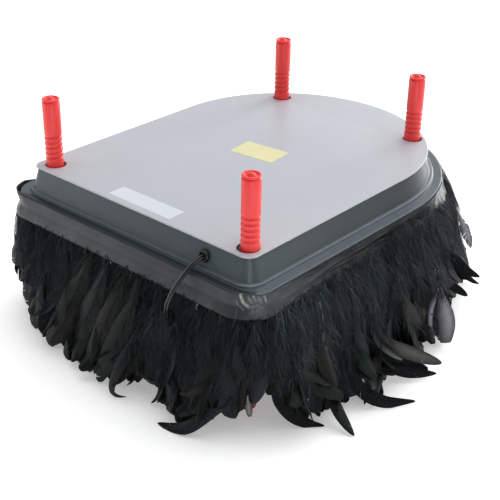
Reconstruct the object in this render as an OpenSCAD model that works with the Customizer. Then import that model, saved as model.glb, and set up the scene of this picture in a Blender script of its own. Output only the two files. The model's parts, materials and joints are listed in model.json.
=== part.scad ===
// Brooder heating plate: a D-shaped heated plate on four height-adjustable
// legs, with a feather skirt hung from its flange and a mains cord.
// Millimetres. +Z is up, the floor is z = 0, +X runs along the straight edge
// and +Y points to the round end. The origin is on the floor, under the
// middle of the plate.

/* [Plate] */
// Width of the plate over its flange
plate_w = 400; // [394:1:406]
// Length of the plate over its flange, straight edge to round end
plate_l = 504; // [498:1:512]
// Height of the cover's top face above the floor at rest
plate_top = 205; // [200:1:212]
// Corner radius of the flange at the straight edge
corner_r = 35; // [33:1:40]
// Thickness of the top cover sheet
cover_t = 3; // [2.5:0.5:3.5]
// Wall thickness of the formed housing
wall_t = 2.5; // [2:0.25:2.75]
// How far the cover's edge lies inside the flange's edge
cover_inset = 20.5; // [20:0.5:22]

/* [Legs] */
// Outer diameter of a leg
leg_d = 21.4; // [20.4:0.1:22]
// Rim of a leg above the cover at rest
leg_rise = 86; // [80:1:95]
// Distance from one height groove to the next
groove_pitch = 6.7; // [6.2:0.1:7]
// Depth of a height groove
groove_depth = 1.1; // [0.6:0.1:1.4]
// Width of a height groove
groove_w = 3; // [2:0.1:3.6]
// Clearance round a leg in its guide
leg_gap = 0.3; // [0.2:0.05:0.5]
// Distance of the front legs from the middle plane
leg_x_front = 160; // [156:1:162]
// Distance of the rear legs from the middle plane
leg_x_rear = 112; // [106:1:114]

/* [Feather skirt] */
// How far the feathers stand out past the flange at the floor
skirt_flare = 45; // [38:1:55]
// How far the longest tips at the two sides lie out past the flange
tip_reach = 76; // [60:1:78]
// Clearance of the feather solids over the floor
skirt_clear = 8; // [7.5:0.5:12]
// Thickness of the feather layer
skirt_t = 6; // [4:1:8]

/* [Heater] */
// Distance between two passes of the heating cable
pass_pitch = 30; // [28:1:30]
// Diameter of the heating cable
heat_d = 3; // [2.4:0.2:3]

/* [Cord] */
// Diameter of the mains cord
cord_d = 5.6; // [5:0.1:6]
// Diameter across the middle of the coil's turns
coil_d = 62; // [60:1:64]

/* [Hidden] */

$fn = 64;
T = plate_top;
hw = plate_w / 2;              // half width of the flange
yc = plate_l / 2 - hw;         // centre of the round end
yf = -plate_l / 2;             // straight edge of the flange
sx = hw - corner_r;            // where the front corners start

// legs: name order front left, front right, rear left, rear right
LEGS = [[-leg_x_front, yf + 43], [leg_x_front, yf + 43],
        [-leg_x_rear, yc + 116.5], [leg_x_rear, yc + 116.5]];
lr = leg_d / 2;
hole_r = lr + 2.8;             // holes for the guides
grip_z = T + 11.1 - 6 * groove_pitch;  // height of the grip rings

// heights of the shell
z_deck = T - cover_t;          // top of the deck
z_bead = T - 29.1;             // top of the bead at the foot of the wall
z_fl = T - 32.3;               // top of the flange
z_lip = T - 45;                // lower edge of the lip
z_pan = T - 39.8;              // underside of the heating panel
pan_t = 3;
z_spr = z_pan + pan_t;         // underside of the heat spreader
spr_t = 0.8;

// slope of the side wall, as offsets from the flange's edge
we0 = -22.2; wz0 = T - 4.2;
we1 = -17;   wz1 = T - 28.4;
wall_a = atan((we1 - we0) / (wz0 - wz1));
function wall_e(z) = we0 + (wz0 - z) * (we1 - we0) / (wz0 - wz1);

// cable entry on the straight edge's wall
gx = 115.4; gz = T - 17;
gy = yf - wall_e(gz);

// ---------------------------------------------------------------- shapes

// flat D outline, e outside the flange's edge
module dee(e) {
    r = hw + e; rc = corner_r + e;
    translate([0, yc]) intersection() {
        circle(r = r, $fn = 180);
        translate([-r - 1, 0]) square([2 * r + 2, r + 1]);
    }
    translate([-r, yf - e + rc]) square([2 * r, yc - yf + e - rc]);
    translate([-sx, yf - e]) square([2 * sx, rc]);
    for (s = [0, 1]) mirror([s, 0]) translate([sx, yf - e + rc])
        intersection() {
            circle(r = rc);
            translate([0, -rc - 1]) square([rc + 1, rc + 1]);
        }
}

// a profile p of [offset outside the flange's edge, height], carried along
// the parts of the D
module round_end(p)
    translate([0, yc, 0]) rotate_extrude(angle = 180, $fn = 180)
        translate([hw, 0]) polygon(p);
module right_side(p)
    translate([hw, yc, 0]) rotate([90, 0, 0])
        linear_extrude(yc - yf - corner_r) polygon(p);
module right_corner(p)
    translate([sx, yf + corner_r, 0]) rotate([0, 0, -90])
        rotate_extrude(angle = 90) translate([corner_r, 0]) polygon(p);
module front_side(p, x0, x1)
    translate([x0, yf, 0]) rotate([0, 0, -90]) translate([0, x1 - x0, 0])
        rotate([90, 0, 0]) linear_extrude(x1 - x0) polygon(p);
module ring(p) {
    round_end(p);
    front_side(p, -sx, sx);
    for (s = [0, 1]) mirror([s, 0, 0]) { right_side(p); right_corner(p); }
}

module at_legs() for (l = LEGS) translate([l[0], l[1], 0]) children();

// tube of radius r along the points p, with n sides
function unit(v) = v / norm(v);
function tang(p, i) = unit(p[min(i + 1, len(p) - 1)] - p[max(i - 1, 0)]);
function spline(p, i, t) =
    let (a = p[max(i - 1, 0)], b = p[i], c = p[i + 1],
         d = p[min(i + 2, len(p) - 1)])
    0.5 * (2 * b + (c - a) * t + (2 * a - 5 * b + 4 * c - d) * t * t
        + (3 * b - 3 * c + d - a) * t * t * t);
function smooth(p, k) = concat(
    [for (i = [0 : len(p) - 2]) for (j = [0 : k - 1]) spline(p, i, j / k)],
    [p[len(p) - 1]]);
module tube(p, r, n, ref) {
    m = len(p);
    pts = [for (i = [0 : m - 1])
        let (t = tang(p, i), s = unit(cross(t, ref)), u = cross(s, t))
        for (j = [0 : n - 1])
            p[i] + r * (cos(360 * j / n) * s + sin(360 * j / n) * u)];
    faces = concat(
        [[for (j = [0 : n - 1]) j]],
        [[for (j = [n - 1 : -1 : 0]) (m - 1) * n + j]],
        [for (i = [0 : m - 2]) for (j = [0 : n - 1])
            [i * n + j, (i + 1) * n + j, i * n + (j + 1) % n]],
        [for (i = [0 : m - 2]) for (j = [0 : n - 1])
            [(i + 1) * n + j, (i + 1) * n + (j + 1) % n, i * n + (j + 1) % n]]);
    polyhedron(points = pts, faces = faces);
}

// ------------------------------------------------------- shell and heater

module top_cover() color([0.80, 0.82, 0.85])
    translate([0, 0, T - cover_t]) difference() {
        linear_extrude(cover_t) dee(-cover_inset);
        at_legs() translate([0, 0, -1]) cylinder(r = hole_r, h = cover_t + 2);
    }

// outside of the shell from the deck to the lip, and back up inside
shell = [
    [-30, z_deck], [-24.6, z_deck], [-23.5, z_deck - 0.25],
    [-22.7, z_deck - 0.8], [we0, wz0], [we1, wz1], [-16.4, z_bead + 0.1],
    [-13.4, z_bead], [-12.6, z_bead - 0.4], [-12.2, z_bead - 1.2],
    [-11.7, z_fl], [-1.3, z_fl], [-0.4, z_fl - 0.4], [0, z_fl - 1.3],
    [0, z_lip], [-wall_t, z_lip], [-wall_t, z_fl - wall_t],
    [-11.7 - wall_t, z_fl - wall_t], [-12.4 - wall_t, z_bead - wall_t - 0.3],
    [we1 - wall_t, z_bead - wall_t], [wall_e(z_deck - wall_t) - wall_t, z_deck - wall_t],
    [-30, z_deck - wall_t]];

module housing() color([0.33, 0.36, 0.39]) difference() {
    union() {
        ring(shell);
        translate([0, 0, z_deck - wall_t]) linear_extrude(wall_t) dee(-30);
    }
    at_legs() translate([0, 0, z_deck - wall_t - 1])
        cylinder(r = hole_r, h = wall_t + 2);
    translate([gx, gy, gz]) rotate([90 - wall_a, 0, 0])
        translate([0, 0, -8]) cylinder(r = 5.6, h = 16);
}

module heating_panel() color([0.15, 0.15, 0.16])
    translate([0, 0, z_pan]) difference() {
        linear_extrude(pan_t) dee(-3.2);
        at_legs() translate([0, 0, -1]) cylinder(r = hole_r, h = pan_t + 2);
    }

module panel_sealant() color([0.75, 0.75, 0.72])
    ring([[-11.2, z_spr], [-4.2, z_spr], [-4.2, z_fl - wall_t],
        [-11.2, z_fl - wall_t]]);

module heat_spreader() color([0.78, 0.79, 0.80])
    translate([0, 0, z_spr]) difference() {
        linear_extrude(spr_t) dee(-20);
        at_legs() translate([0, 0, -1]) cylinder(r = hole_r + 0.5, h = 3);
    }

// heating cable: straight passes joined by half-round bends
pass_n = 12;
pass_l = 135;
function pass_y(i) = yf + 66 + pass_pitch * i;
z_heat = z_spr + spr_t + heat_d / 2;
module heating_cable() color([0.85, 0.82, 0.74]) translate([0, 0, z_heat]) {
    for (i = [0 : pass_n - 1]) translate([-pass_l, pass_y(i), 0])
        rotate([0, 90, 0]) cylinder(d = heat_d, h = 2 * pass_l, $fn = 24);
    for (i = [0 : pass_n - 2])
        translate([(i % 2 == 0 ? -1 : 1) * pass_l, pass_y(i) + pass_pitch / 2, 0])
            rotate([0, 0, i % 2 == 0 ? 90 : -90])
                rotate_extrude(angle = 180) translate([pass_pitch / 2, 0])
                    circle(d = heat_d, $fn = 24);
}

module insulation_board() color([0.93, 0.92, 0.86])
    translate([0, 0, T - 28.5]) difference() {
        linear_extrude(12) dee(-30);
        at_legs() translate([0, 0, -1]) cylinder(r = 17.8, h = 14);
        translate([14, yf, -1]) cube([136, 102, 14]);
    }

z_top = z_spr + spr_t;         // where the heater's fittings stand
module thermostat() color([0.20, 0.20, 0.22]) translate([30, yf + 81, z_top]) {
    difference() {
        union() {
            cylinder(r = 8, h = 9);
            for (s = [-1, 1]) translate([s * 4 - 2.5, -0.4, 8]) cube([5, 0.8, 7]);
        }
        translate([0, 0, 6]) rotate_extrude() translate([7.4, 0]) square([2, 1]);
    }
}
module thermal_fuse() color([0.86, 0.84, 0.80])
    translate([93, yf + 81, z_top + 2.4]) rotate([0, 90, 0]) {
        cylinder(r = 2.2, h = 14);
    }
module terminal_block() color([0.92, 0.92, 0.90])
    translate([50, yf + 34, z_top]) difference() {
        cube([40, 18, 15]);
        for (i = [0 : 2]) translate([8 + 12 * i, 9, 8]) cylinder(r = 2.4, h = 8);
        translate([13.2, -1, 10]) cube([1.6, 20, 6]);
        translate([25.2, -1, 10]) cube([1.6, 20, 6]);
    }

module inner_cord() color([0.10, 0.10, 0.11])
    translate([gx, yf + 46, gz]) rotate([90, 0, 0]) cylinder(d = cord_d, h = 19.8);
module cord_clamp() color([0.25, 0.25, 0.27]) difference() {
    translate([gx - 12, yf + 30, gz - 4]) cube([24, 10, z_deck - wall_t - gz + 4]);
    translate([gx, yf + 41, gz]) rotate([90, 0, 0]) cylinder(d = cord_d + 0.2, h = 12);
    for (s = [-1, 1]) translate([gx + 8 * s, yf + 35, gz - 5]) cylinder(r = 1.7, h = 30);
}
module clamp_screws() color([0.70, 0.70, 0.72])
    for (s = [-1, 1]) translate([gx + 8 * s, yf + 35, 0]) {
        translate([0, 0, gz - 6]) cylinder(r = 3, h = 2);
        translate([0, 0, gz - 5]) cylinder(r = 1.5, h = z_deck - wall_t - gz + 4.8);
    }

// inner leads, as points from T and the straight edge
module lead(p, c) color(c)
    tube(smooth([for (q = p) [q[0], yf + q[1], T + q[2]]], 3), 1, 8, [1, 0.2, -1]);
module brown_lead() lead([[114.1, 46.2, -17], [113, 53, -17.6], [108, 60, -19.5],
    [98, 63, -22.5], [89, 61.5, -24.4], [84.6, 57, -25], [84, 52.6, -25]], [0.45, 0.25, 0.12]);
module blue_lead() lead([[116.7, 46.2, -17], [116.5, 55, -17.4], [112, 64, -18.6],
    [98, 68, -21.5], [80, 67, -24], [68, 60, -25], [64.4, 56, -25], [64, 52.6, -25]], [0.12, 0.28, 0.60]);
module thermostat_lead() lead([[49.8, 43, -28], [44, 44, -27.5], [34, 50, -25.5],
    [27, 60, -24], [25.6, 70, -24], [25.6, 80.4, -24]], [0.75, 0.15, 0.12]);
module fuse_lead() lead([[34, 81.6, -24], [36, 86, -24], [44, 88.5, -25.5],
    [60, 87, -29.5], [78, 82.5, -33], [86, 81.2, -33.6], [92.8, 81, -33.6]], [0.75, 0.15, 0.12]);
module heater_lead() lead([[107.2, 81, -33.6], [118, 80.6, -33.6], [132, 78.5, -33.8],
    [143, 75, -34.2], [147.5, 70.5, -34.5], [144, 66.6, -34.5], [135.2, 66, -34.5]], [0.75, 0.15, 0.12]);
module return_lead() lead([[135.2, 66 + 330, -34.5], [148, 394, -34.4], [156, 384, -34],
    [160, 362, -34], [160, 300, -34], [160, 200, -34], [160, 120, -34], [160, 94, -33],
    [154, 80, -31.6], [144, 75, -30.2], [132, 73, -28.6], [110, 72.5, -28.5], [88, 70.5, -29],
    [77, 64, -29.4], [74.2, 57, -29.6], [74, 52.6, -29.6]], [0.85, 0.85, 0.82]);

// ---------------------------------------------------- cable entry and cord

module cable_grommet() color([0.06, 0.06, 0.07])
    translate([gx, gy, gz]) rotate([90 - wall_a, 0, 0]) rotate_extrude()
        polygon([[4.2, -5.8], [6.6, -5.8], [6.6, -3.5], [5.4, -3.5], [5.4, 0.1],
            [7.7, 0.1], [7.7, 1.6], [7.4, 2.5], [6.8, 3.1], [6, 3.3],
            [5.2, 3.1], [4.6, 2.5], [4.2, 1.4]]);

// route of the mains cord: out of the grommet, over the flange, down among
// the feathers, round the inside of the skirt on the floor and out behind
cord_r = cord_d / 2;
floor_z = 3;
ROUTE = [[115.4, -226, 188], [115.4, -233, 188], [114.8, -240, 186.8],
    [113.4, -247.6, 183.4], [111.4, -255.4, 177.6], [109.2, -262.2, 170.4],
    [106.6, -268, 161.6], [103.6, -272.8, 151], [100.4, -276.4, 139.4],
    [96.8, -279, 126], [93.4, -280.2, 110], [90.6, -280, 93],
    [88.4, -278.6, 75], [86.2, -276, 57], [82.6, -272.4, 40],
    [76.6, -267.8, 25], [67, -262.6, 13], [54, -257.6, 6], [38, -253.4, 3.4],
    [18, -250, floor_z], [-10, -247, floor_z], [-40, -245.4, floor_z],
    [-75, -245, floor_z], [-105, -245, floor_z],
    [-130, -244, floor_z], [-150, -238.6, floor_z], [-168, -228, floor_z],
    [-182, -212, floor_z], [-190.6, -193, floor_z], [-194, -170, floor_z],
    [-195, -140, floor_z], [-195, -100, floor_z], [-195, -60, floor_z],
    [-196, -20, floor_z], [-199, 20, floor_z], [-206, 60, floor_z],
    [-216, 100, floor_z], [-227, 140, floor_z], [-237, 180, floor_z],
    [-243.6, 220, 3.4], [-246, 258, 4.2]];
module power_cord() color([0.07, 0.07, 0.08])
    tube(smooth(ROUTE, 2), cord_r, 10, [1, 0, -1]);

// coil behind the round end, its tie, and the plug at the cord's end
COIL = [-215, 266];
coil_z = 1.2;
coil_h = 12.4;
module cord_coil() color([0.08, 0.08, 0.09])
    translate([COIL[0], COIL[1], coil_z]) rotate_extrude()
        translate([coil_d / 2 - 6.2, 0]) polygon([[0, 2], [2, 0], [10.4, 0],
            [12.4, 2], [12.4, coil_h - 2], [10.4, coil_h], [2, coil_h], [0, coil_h - 2]]);
module cord_tie() color([0.85, 0.85, 0.83])
    translate([COIL[0] + coil_d / 2, COIL[1] - 4, 0]) difference() {
        translate([-7.6, 0, 0.15]) cube([15.2, 8, coil_h + 2]);
        translate([-6.8, -1, 0.95]) cube([13.6, 10, coil_h + 0.5]);
    }
plug_y = COIL[1] + coil_d / 2;
plug_x = -185;
plug_z = 7;
module cord_tail() color([0.07, 0.07, 0.08])
    tube(smooth([[COIL[0], plug_y, 4.4], [-206, plug_y, 4.8], [-196, plug_y, 6],
        [plug_x - 4, plug_y, plug_z], [plug_x - 0.2, plug_y, plug_z]], 2), cord_r, 10, [0, 0, 1]);
module plug_body() color([0.08, 0.08, 0.09]) {
    translate([plug_x, plug_y, plug_z]) rotate([0, 90, 0])
        cylinder(r1 = 3.6, r2 = 5.4, h = 15);
    translate([plug_x + 14, plug_y, plug_z - 6.8]) linear_extrude(13.6)
        polygon([[0, -6], [3, -7.5], [20, -16.4], [24, -17.4], [29, -17.6],
            [32, -15.6], [32, 15.6], [29, 17.6], [24, 17.4], [20, 16.4],
            [3, 7.5], [0, 6]]);
}
module plug_pins() color([0.82, 0.80, 0.72])
    for (s = [-1, 1]) translate([plug_x + 46, plug_y + 9.5 * s, plug_z])
        rotate([0, 90, 0]) { cylinder(r = 2, h = 18); translate([0, 0, 18]) cylinder(r1 = 2, r2 = 1.2, h = 1); }

// ------------------------------------------------------------ flat trim

module blank_label() color([0.95, 0.95, 0.95])
    translate([-50, yf + 31, T]) cube([100, 25, 0.2]);
module blank_sticker() color([0.90, 0.84, 0.45])
    translate([-3, yf + 246, T]) rotate([0, 0, 6]) linear_extrude(0.2) {
        square([56, 40], center = true);
        square([64, 32], center = true);
        for (sx = [-1, 1]) for (sy = [-1, 1]) translate([28 * sx, 16 * sy]) circle(r = 4);
    }

// --------------------------------------------------------- feather skirt

module skirt_band() color([0.27, 0.28, 0.30])
    ring([[0.1, z_fl + 0.8], [1.3, z_fl + 0.8], [1.5, z_lip], [7.5, T - 59],
        [6.3, T - 59], [0.1, z_lip]]);
module feather_header() color([0.12, 0.12, 0.13])
    ring([[-0.9, z_lip - 2], [0.5, z_lip - 2], [5.7, T - 59], [4.3, T - 59]]);

// feather layer, from the band's lower edge to the floor
function flare(z) = let (t = (T - 59.5 - z) / (T - 59.5 - skirt_clear))
    7.5 + (skirt_flare - 7.5) * (1 - pow(1 - t, 1.6));
fz = [for (i = [0 : 4]) T - 59.5 - (T - 59.5 - skirt_clear) * i / 4];
feathers = concat([for (z = fz) [flare(z), z]],
    [for (i = [4 : -1 : 0]) [flare(fz[i]) - skirt_t, fz[i]]]);
// at the two sides the lowest tips turn outwards along the floor
side_feathers = concat([for (i = [0 : 3]) [flare(fz[i]), fz[i]]],
    [for (k = [[0.1, 16], [0.35, 8], [0.65, 4], [1, 2], [1, 0]])
        [skirt_flare + k[0] * (tip_reach - skirt_flare), skirt_clear + k[1]]],
    [for (i = [4 : -1 : 0]) [flare(fz[i]) - skirt_t, fz[i]]]);
gap0 = 80; gap1 = 99;         // where the cord goes in between the feathers
module feather_front_left() color([0.09, 0.09, 0.10]) {
    front_side(feathers, -sx, gap0);
    mirror([1, 0, 0]) right_corner(feathers);
}
module feather_front_right() color([0.09, 0.09, 0.10]) {
    front_side(feathers, gap1, sx);
    right_corner(feathers);
}
module feather_left() color([0.09, 0.09, 0.10]) mirror([1, 0, 0]) right_side(side_feathers);
module feather_right() color([0.09, 0.09, 0.10]) right_side(side_feathers);
module feather_back() color([0.09, 0.09, 0.10]) round_end(feathers);

// ------------------------------------------------------------------ legs

z_rim = T + leg_rise;
grooves = concat(
    [for (i = [12 : -1 : 8]) grip_z - groove_pitch * i],
    [for (i = [4 : -1 : 0]) grip_z - groove_pitch * i],
    [for (i = [6 : 10]) grip_z + groove_pitch * i]);
module leg() color([0.88, 0.15, 0.14]) rotate_extrude() polygon(concat(
    [[lr - 2.5, 6], [lr, 6]],
    [for (g = grooves) for (a = [180 : -30 : 0])
        [lr - groove_depth * sin(a), g + groove_w / 2 * cos(a)]],
    [[lr, z_rim - 3.6], [lr - 2.5, z_rim - 3.6]]));
module cap() color([0.90, 0.16, 0.15]) rotate_extrude() polygon([
    [0, z_rim - 15], [lr - 2.6, z_rim - 15], [lr - 2.6, z_rim - 3.6],
    [lr - 1.1, z_rim - 3.6], [lr - 1.1, z_rim - 2.6], [lr, z_rim - 2.4],
    [lr, z_rim - 0.8], [lr - 0.3, z_rim - 0.2], [lr - 0.8, z_rim],
    [lr - 1.6, z_rim - 0.1], [lr - 2.4, z_rim - 1.2], [lr - 4, z_rim - 1.6],
    [3.4, z_rim - 1.6], [1.8, z_rim - 0.4], [1.2, z_rim - 0.2], [0, z_rim - 0.2]]);
module foot() color([0.84, 0.13, 0.13]) rotate_extrude() polygon([
    [0, 0], [lr - 1.8, 0], [lr - 0.8, 0.3], [lr - 0.2, 1], [lr, 2],
    [lr, 6], [lr - 2.6, 6], [lr - 2.6, 18], [0, 18]]);
gr = lr + leg_gap;
module guide() color([0.08, 0.08, 0.09]) rotate_extrude() polygon([
    [gr, z_pan - 6.5], [hole_r - 0.2, z_pan - 6.5], [hole_r - 0.2, z_top],
    [16.8, z_top], [16.8, z_top + 13], [hole_r - 0.2, z_top + 13],
    [hole_r - 0.2, T - 1.6], [gr + 0.6, T - 1.6], [gr, T - 2.2],
    [gr, grip_z + 1.5], [gr + 2.8, grip_z + 1.5], [gr + 2.8, grip_z - 1.5],
    [gr, grip_z - 1.5]]);
module at_leg(i) translate([LEGS[i][0], LEGS[i][1], 0]) children();

module leg_front_left() at_leg(0) leg();
module leg_front_right() at_leg(1) leg();
module leg_rear_left() at_leg(2) leg();
module leg_rear_right() at_leg(3) leg();
module cap_front_left() at_leg(0) cap();
module cap_front_right() at_leg(1) cap();
module cap_rear_left() at_leg(2) cap();
module cap_rear_right() at_leg(3) cap();
module foot_front_left() at_leg(0) foot();
module foot_front_right() at_leg(1) foot();
module foot_rear_left() at_leg(2) foot();
module foot_rear_right() at_leg(3) foot();
module guide_front_left() at_leg(0) guide();
module guide_front_right() at_leg(1) guide();
module guide_rear_left() at_leg(2) guide();
module guide_rear_right() at_leg(3) guide();

module guide_nuts() color([0.12, 0.12, 0.13]) at_legs()
    translate([0, 0, z_pan - 6]) difference() {
        cylinder(r = 20, h = 6, $fn = 6);
        translate([0, 0, -1]) cylinder(r = hole_r - 0.1, h = 8);
    }
module grip_rings() color([0.10, 0.10, 0.10]) at_legs()
    translate([0, 0, grip_z]) rotate_extrude() translate([gr + 1.35, 0])
        circle(r = 1.3, $fn = 32);

// ------------------------------------------------------------------ build

top_cover();
housing();
heating_panel();
panel_sealant();
heat_spreader();
heating_cable();
insulation_board();
thermostat();
thermal_fuse();
terminal_block();
inner_cord();
cord_clamp();
clamp_screws();
brown_lead();
blue_lead();
thermostat_lead();
fuse_lead();
heater_lead();
return_lead();
cable_grommet();
power_cord();
cord_coil();
cord_tail();
cord_tie();
plug_body();
plug_pins();
blank_label();
blank_sticker();
skirt_band();
feather_header();
feather_front_left();
feather_front_right();
feather_left();
feather_right();
feather_back();
leg_front_left();
leg_front_right();
leg_rear_left();
leg_rear_right();
cap_front_left();
cap_front_right();
cap_rear_left();
cap_rear_right();
foot_front_left();
foot_front_right();
foot_rear_left();
foot_rear_right();
guide_front_left();
guide_front_right();
guide_rear_left();
guide_rear_right();
guide_nuts();
grip_rings();
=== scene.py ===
import json
import math

import bpy
import bmesh
import numpy as np
from mathutils import Matrix, Vector


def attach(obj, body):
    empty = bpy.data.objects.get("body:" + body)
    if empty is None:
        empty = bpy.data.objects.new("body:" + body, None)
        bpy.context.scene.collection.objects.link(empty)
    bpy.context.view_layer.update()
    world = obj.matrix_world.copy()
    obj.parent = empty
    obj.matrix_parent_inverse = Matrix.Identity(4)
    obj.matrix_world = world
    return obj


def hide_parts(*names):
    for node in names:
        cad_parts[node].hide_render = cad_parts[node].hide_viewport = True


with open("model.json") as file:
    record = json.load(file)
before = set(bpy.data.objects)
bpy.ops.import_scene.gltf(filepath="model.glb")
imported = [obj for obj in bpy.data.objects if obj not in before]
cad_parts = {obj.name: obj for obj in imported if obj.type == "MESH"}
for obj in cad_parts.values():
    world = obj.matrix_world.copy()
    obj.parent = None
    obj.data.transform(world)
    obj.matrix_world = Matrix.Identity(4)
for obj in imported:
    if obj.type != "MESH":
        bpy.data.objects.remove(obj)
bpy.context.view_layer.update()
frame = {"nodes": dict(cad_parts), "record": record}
NODES = frame["nodes"]
scene = bpy.context.scene
scene.view_settings.view_transform = "Standard"
scene.view_settings.look = "None"

MM = 0.001

# ------------------------------------------------------------------ camera

CAM_X = np.array([0.750353, 0.660789, 0.018131])
CAM_Y = np.array([-0.323395, 0.343030, 0.881899])
CAM_Z = np.array([0.576529, -0.667599, 0.471089])
CAM_AT = np.array([0.824455, -0.978621, 0.745155])
LENS, SENSOR = 78.0744, 36.0

cam_data = bpy.data.cameras.new("camera")
cam_data.sensor_width = SENSOR
cam_data.sensor_fit = "HORIZONTAL"
cam_data.lens = LENS
cam_data.clip_start = 0.01
cam_data.clip_end = 50
camera = bpy.data.objects.new("camera", cam_data)
scene.collection.objects.link(camera)
camera.matrix_world = Matrix((
    (CAM_X[0], CAM_Y[0], CAM_Z[0], CAM_AT[0]),
    (CAM_X[1], CAM_Y[1], CAM_Z[1], CAM_AT[1]),
    (CAM_X[2], CAM_Y[2], CAM_Z[2], CAM_AT[2]),
    (0, 0, 0, 1)))
scene.camera = camera
FOCAL_PX = LENS / SENSOR * 500


def ray(u, v):
    """Direction from the camera through a place in the 500 x 500 frame."""
    d = CAM_X * (u - 250) - CAM_Y * (v - 250) - CAM_Z * FOCAL_PX
    return d / np.linalg.norm(d)


def on_plane(u, v, z):
    d = ray(u, v)
    return CAM_AT + d * (z - CAM_AT[2]) / d[2]


def project(p):
    q = np.asarray(p) - CAM_AT
    depth = -(q @ CAM_Z)
    return 250 + FOCAL_PX * (q @ CAM_X) / depth, 250 - FOCAL_PX * (q @ CAM_Y) / depth


# -------------------------------------------------------------- mesh tools

def ease(t):
    t = np.clip(t, 0, 1)
    return t * t * (3 - 2 * t)


def add_object(name, verts, faces, material, smooth=True, sharp_deg=38):
    mesh = bpy.data.meshes.new(name)
    mesh.from_pydata([tuple(v) for v in verts], [], [tuple(f) for f in faces])
    mesh.validate()
    if smooth:
        mesh.polygons.foreach_set("use_smooth", [True] * len(mesh.polygons))
        if sharp_deg:
            mesh.set_sharp_from_angle(angle=math.radians(sharp_deg))
    mesh.materials.append(material)
    mesh.update()
    ob = bpy.data.objects.new(name, mesh)
    scene.collection.objects.link(ob)
    return ob


def fillet(points, closed=False, seg=4):
    """Points (a, b, r) to a polyline with each corner rounded by its r."""
    out, n = [], len(points)
    for i, (a, b, r) in enumerate(points):
        if r <= 0 or (not closed and i in (0, n - 1)):
            out.append((a, b))
            continue
        p = np.array((a, b))
        d0 = np.array(points[i - 1][:2]) - p
        d1 = np.array(points[(i + 1) % n][:2]) - p
        l0, l1 = np.linalg.norm(d0), np.linalg.norm(d1)
        d0, d1 = d0 / l0, d1 / l1
        half = math.acos(max(-1, min(1, float(d0 @ d1)))) / 2
        cut = min(r / math.tan(half), 0.48 * l0, 0.48 * l1)
        rr = cut * math.tan(half)
        mid = (d0 + d1) / np.linalg.norm(d0 + d1)
        centre = p + mid * rr / math.sin(half)
        a0, a1 = p + d0 * cut - centre, p + d1 * cut - centre
        t0, t1 = math.atan2(a0[1], a0[0]), math.atan2(a1[1], a1[0])
        dt = (t1 - t0 + math.pi) % (2 * math.pi) - math.pi
        for k in range(seg + 1):
            t = t0 + dt * k / seg
            out.append(tuple(centre + rr * np.array((math.cos(t), math.sin(t)))))
    return out


def lathe(profile, n=96, closed=False):
    """Revolves (r, z) about Z. Ends on the axis close themselves."""
    prof = np.array(profile, float)
    ang = np.linspace(0, 2 * math.pi, n, endpoint=False)
    verts = np.stack([np.outer(prof[:, 0], np.cos(ang)), np.outer(prof[:, 0], np.sin(ang)),
                      np.repeat(prof[:, 1:2], n, 1)], axis=2)
    faces, m = [], len(prof)
    index, out, count = np.zeros((m, n), int), [], 0
    for i in range(m):
        if prof[i, 0] < 1e-9:
            index[i] = count
            out.append(verts[i, 0]); count += 1
        else:
            index[i] = np.arange(count, count + n)
            out.extend(verts[i]); count += n
    for i in range(m if closed else m - 1):
        j = (i + 1) % m
        for k in range(n):
            l = (k + 1) % n
            f = [index[i, k], index[i, l], index[j, l], index[j, k]]
            g = []
            for x in f:
                if x not in g:
                    g.append(x)
            if len(g) > 2:
                faces.append(g)
    return np.array(out), faces


# the plate's outline seen from above, as places on its edge with their
# outward directions, anticlockwise from the left end of the straight edge
HW, YF, YC, CR = 200.0, -252.0, 52.0, 35.0
CX, CY = HW - CR, YF + CR


def outline(front=60, corner=16, side=50, arc=96):
    base, normal = [], []
    for x in np.linspace(-CX, CX, front, endpoint=False):
        base.append((x, YF)); normal.append((0, -1))
    for a in np.linspace(-90, 0, corner, endpoint=False):
        n = (math.cos(math.radians(a)), math.sin(math.radians(a)))
        base.append((CX + CR * n[0], CY + CR * n[1])); normal.append(n)
    for y in np.linspace(CY, YC, side, endpoint=False):
        base.append((HW, y)); normal.append((1, 0))
    for a in np.linspace(0, 180, arc, endpoint=False):
        n = (math.cos(math.radians(a)), math.sin(math.radians(a)))
        base.append((HW * n[0], YC + HW * n[1])); normal.append(n)
    for y in np.linspace(YC, CY, side, endpoint=False):
        base.append((-HW, y)); normal.append((-1, 0))
    for a in np.linspace(180, 270, corner, endpoint=False):
        n = (math.cos(math.radians(a)), math.sin(math.radians(a)))
        base.append((-CX + CR * n[0], CY + CR * n[1])); normal.append(n)
    return np.array(base), np.array(normal)


FINE_B, FINE_N = outline(660, 110, 540, 1256)
_seg = np.linalg.norm(np.roll(FINE_B, -1, 0) - FINE_B, axis=1)
FINE_S = np.concatenate([[0], np.cumsum(_seg)])
ROUND = FINE_S[-1]                       # distance round the flange's edge


def edge_at(s):
    """Place and outward direction at a distance s along the flange's edge."""
    s = np.asarray(s) % ROUND
    b = np.vstack([FINE_B, FINE_B[:1]])
    n = np.vstack([FINE_N, FINE_N[:1]])
    p = np.stack([np.interp(s, FINE_S, b[:, k]) for k in (0, 1)], -1)
    q = np.stack([np.interp(s, FINE_S, n[:, k]) for k in (0, 1)], -1)
    return p, q / np.linalg.norm(q, axis=-1, keepdims=True)


def s_near(x, y):
    return float(FINE_S[np.argmin(np.linalg.norm(FINE_B - (x, y), axis=1))])


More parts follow.
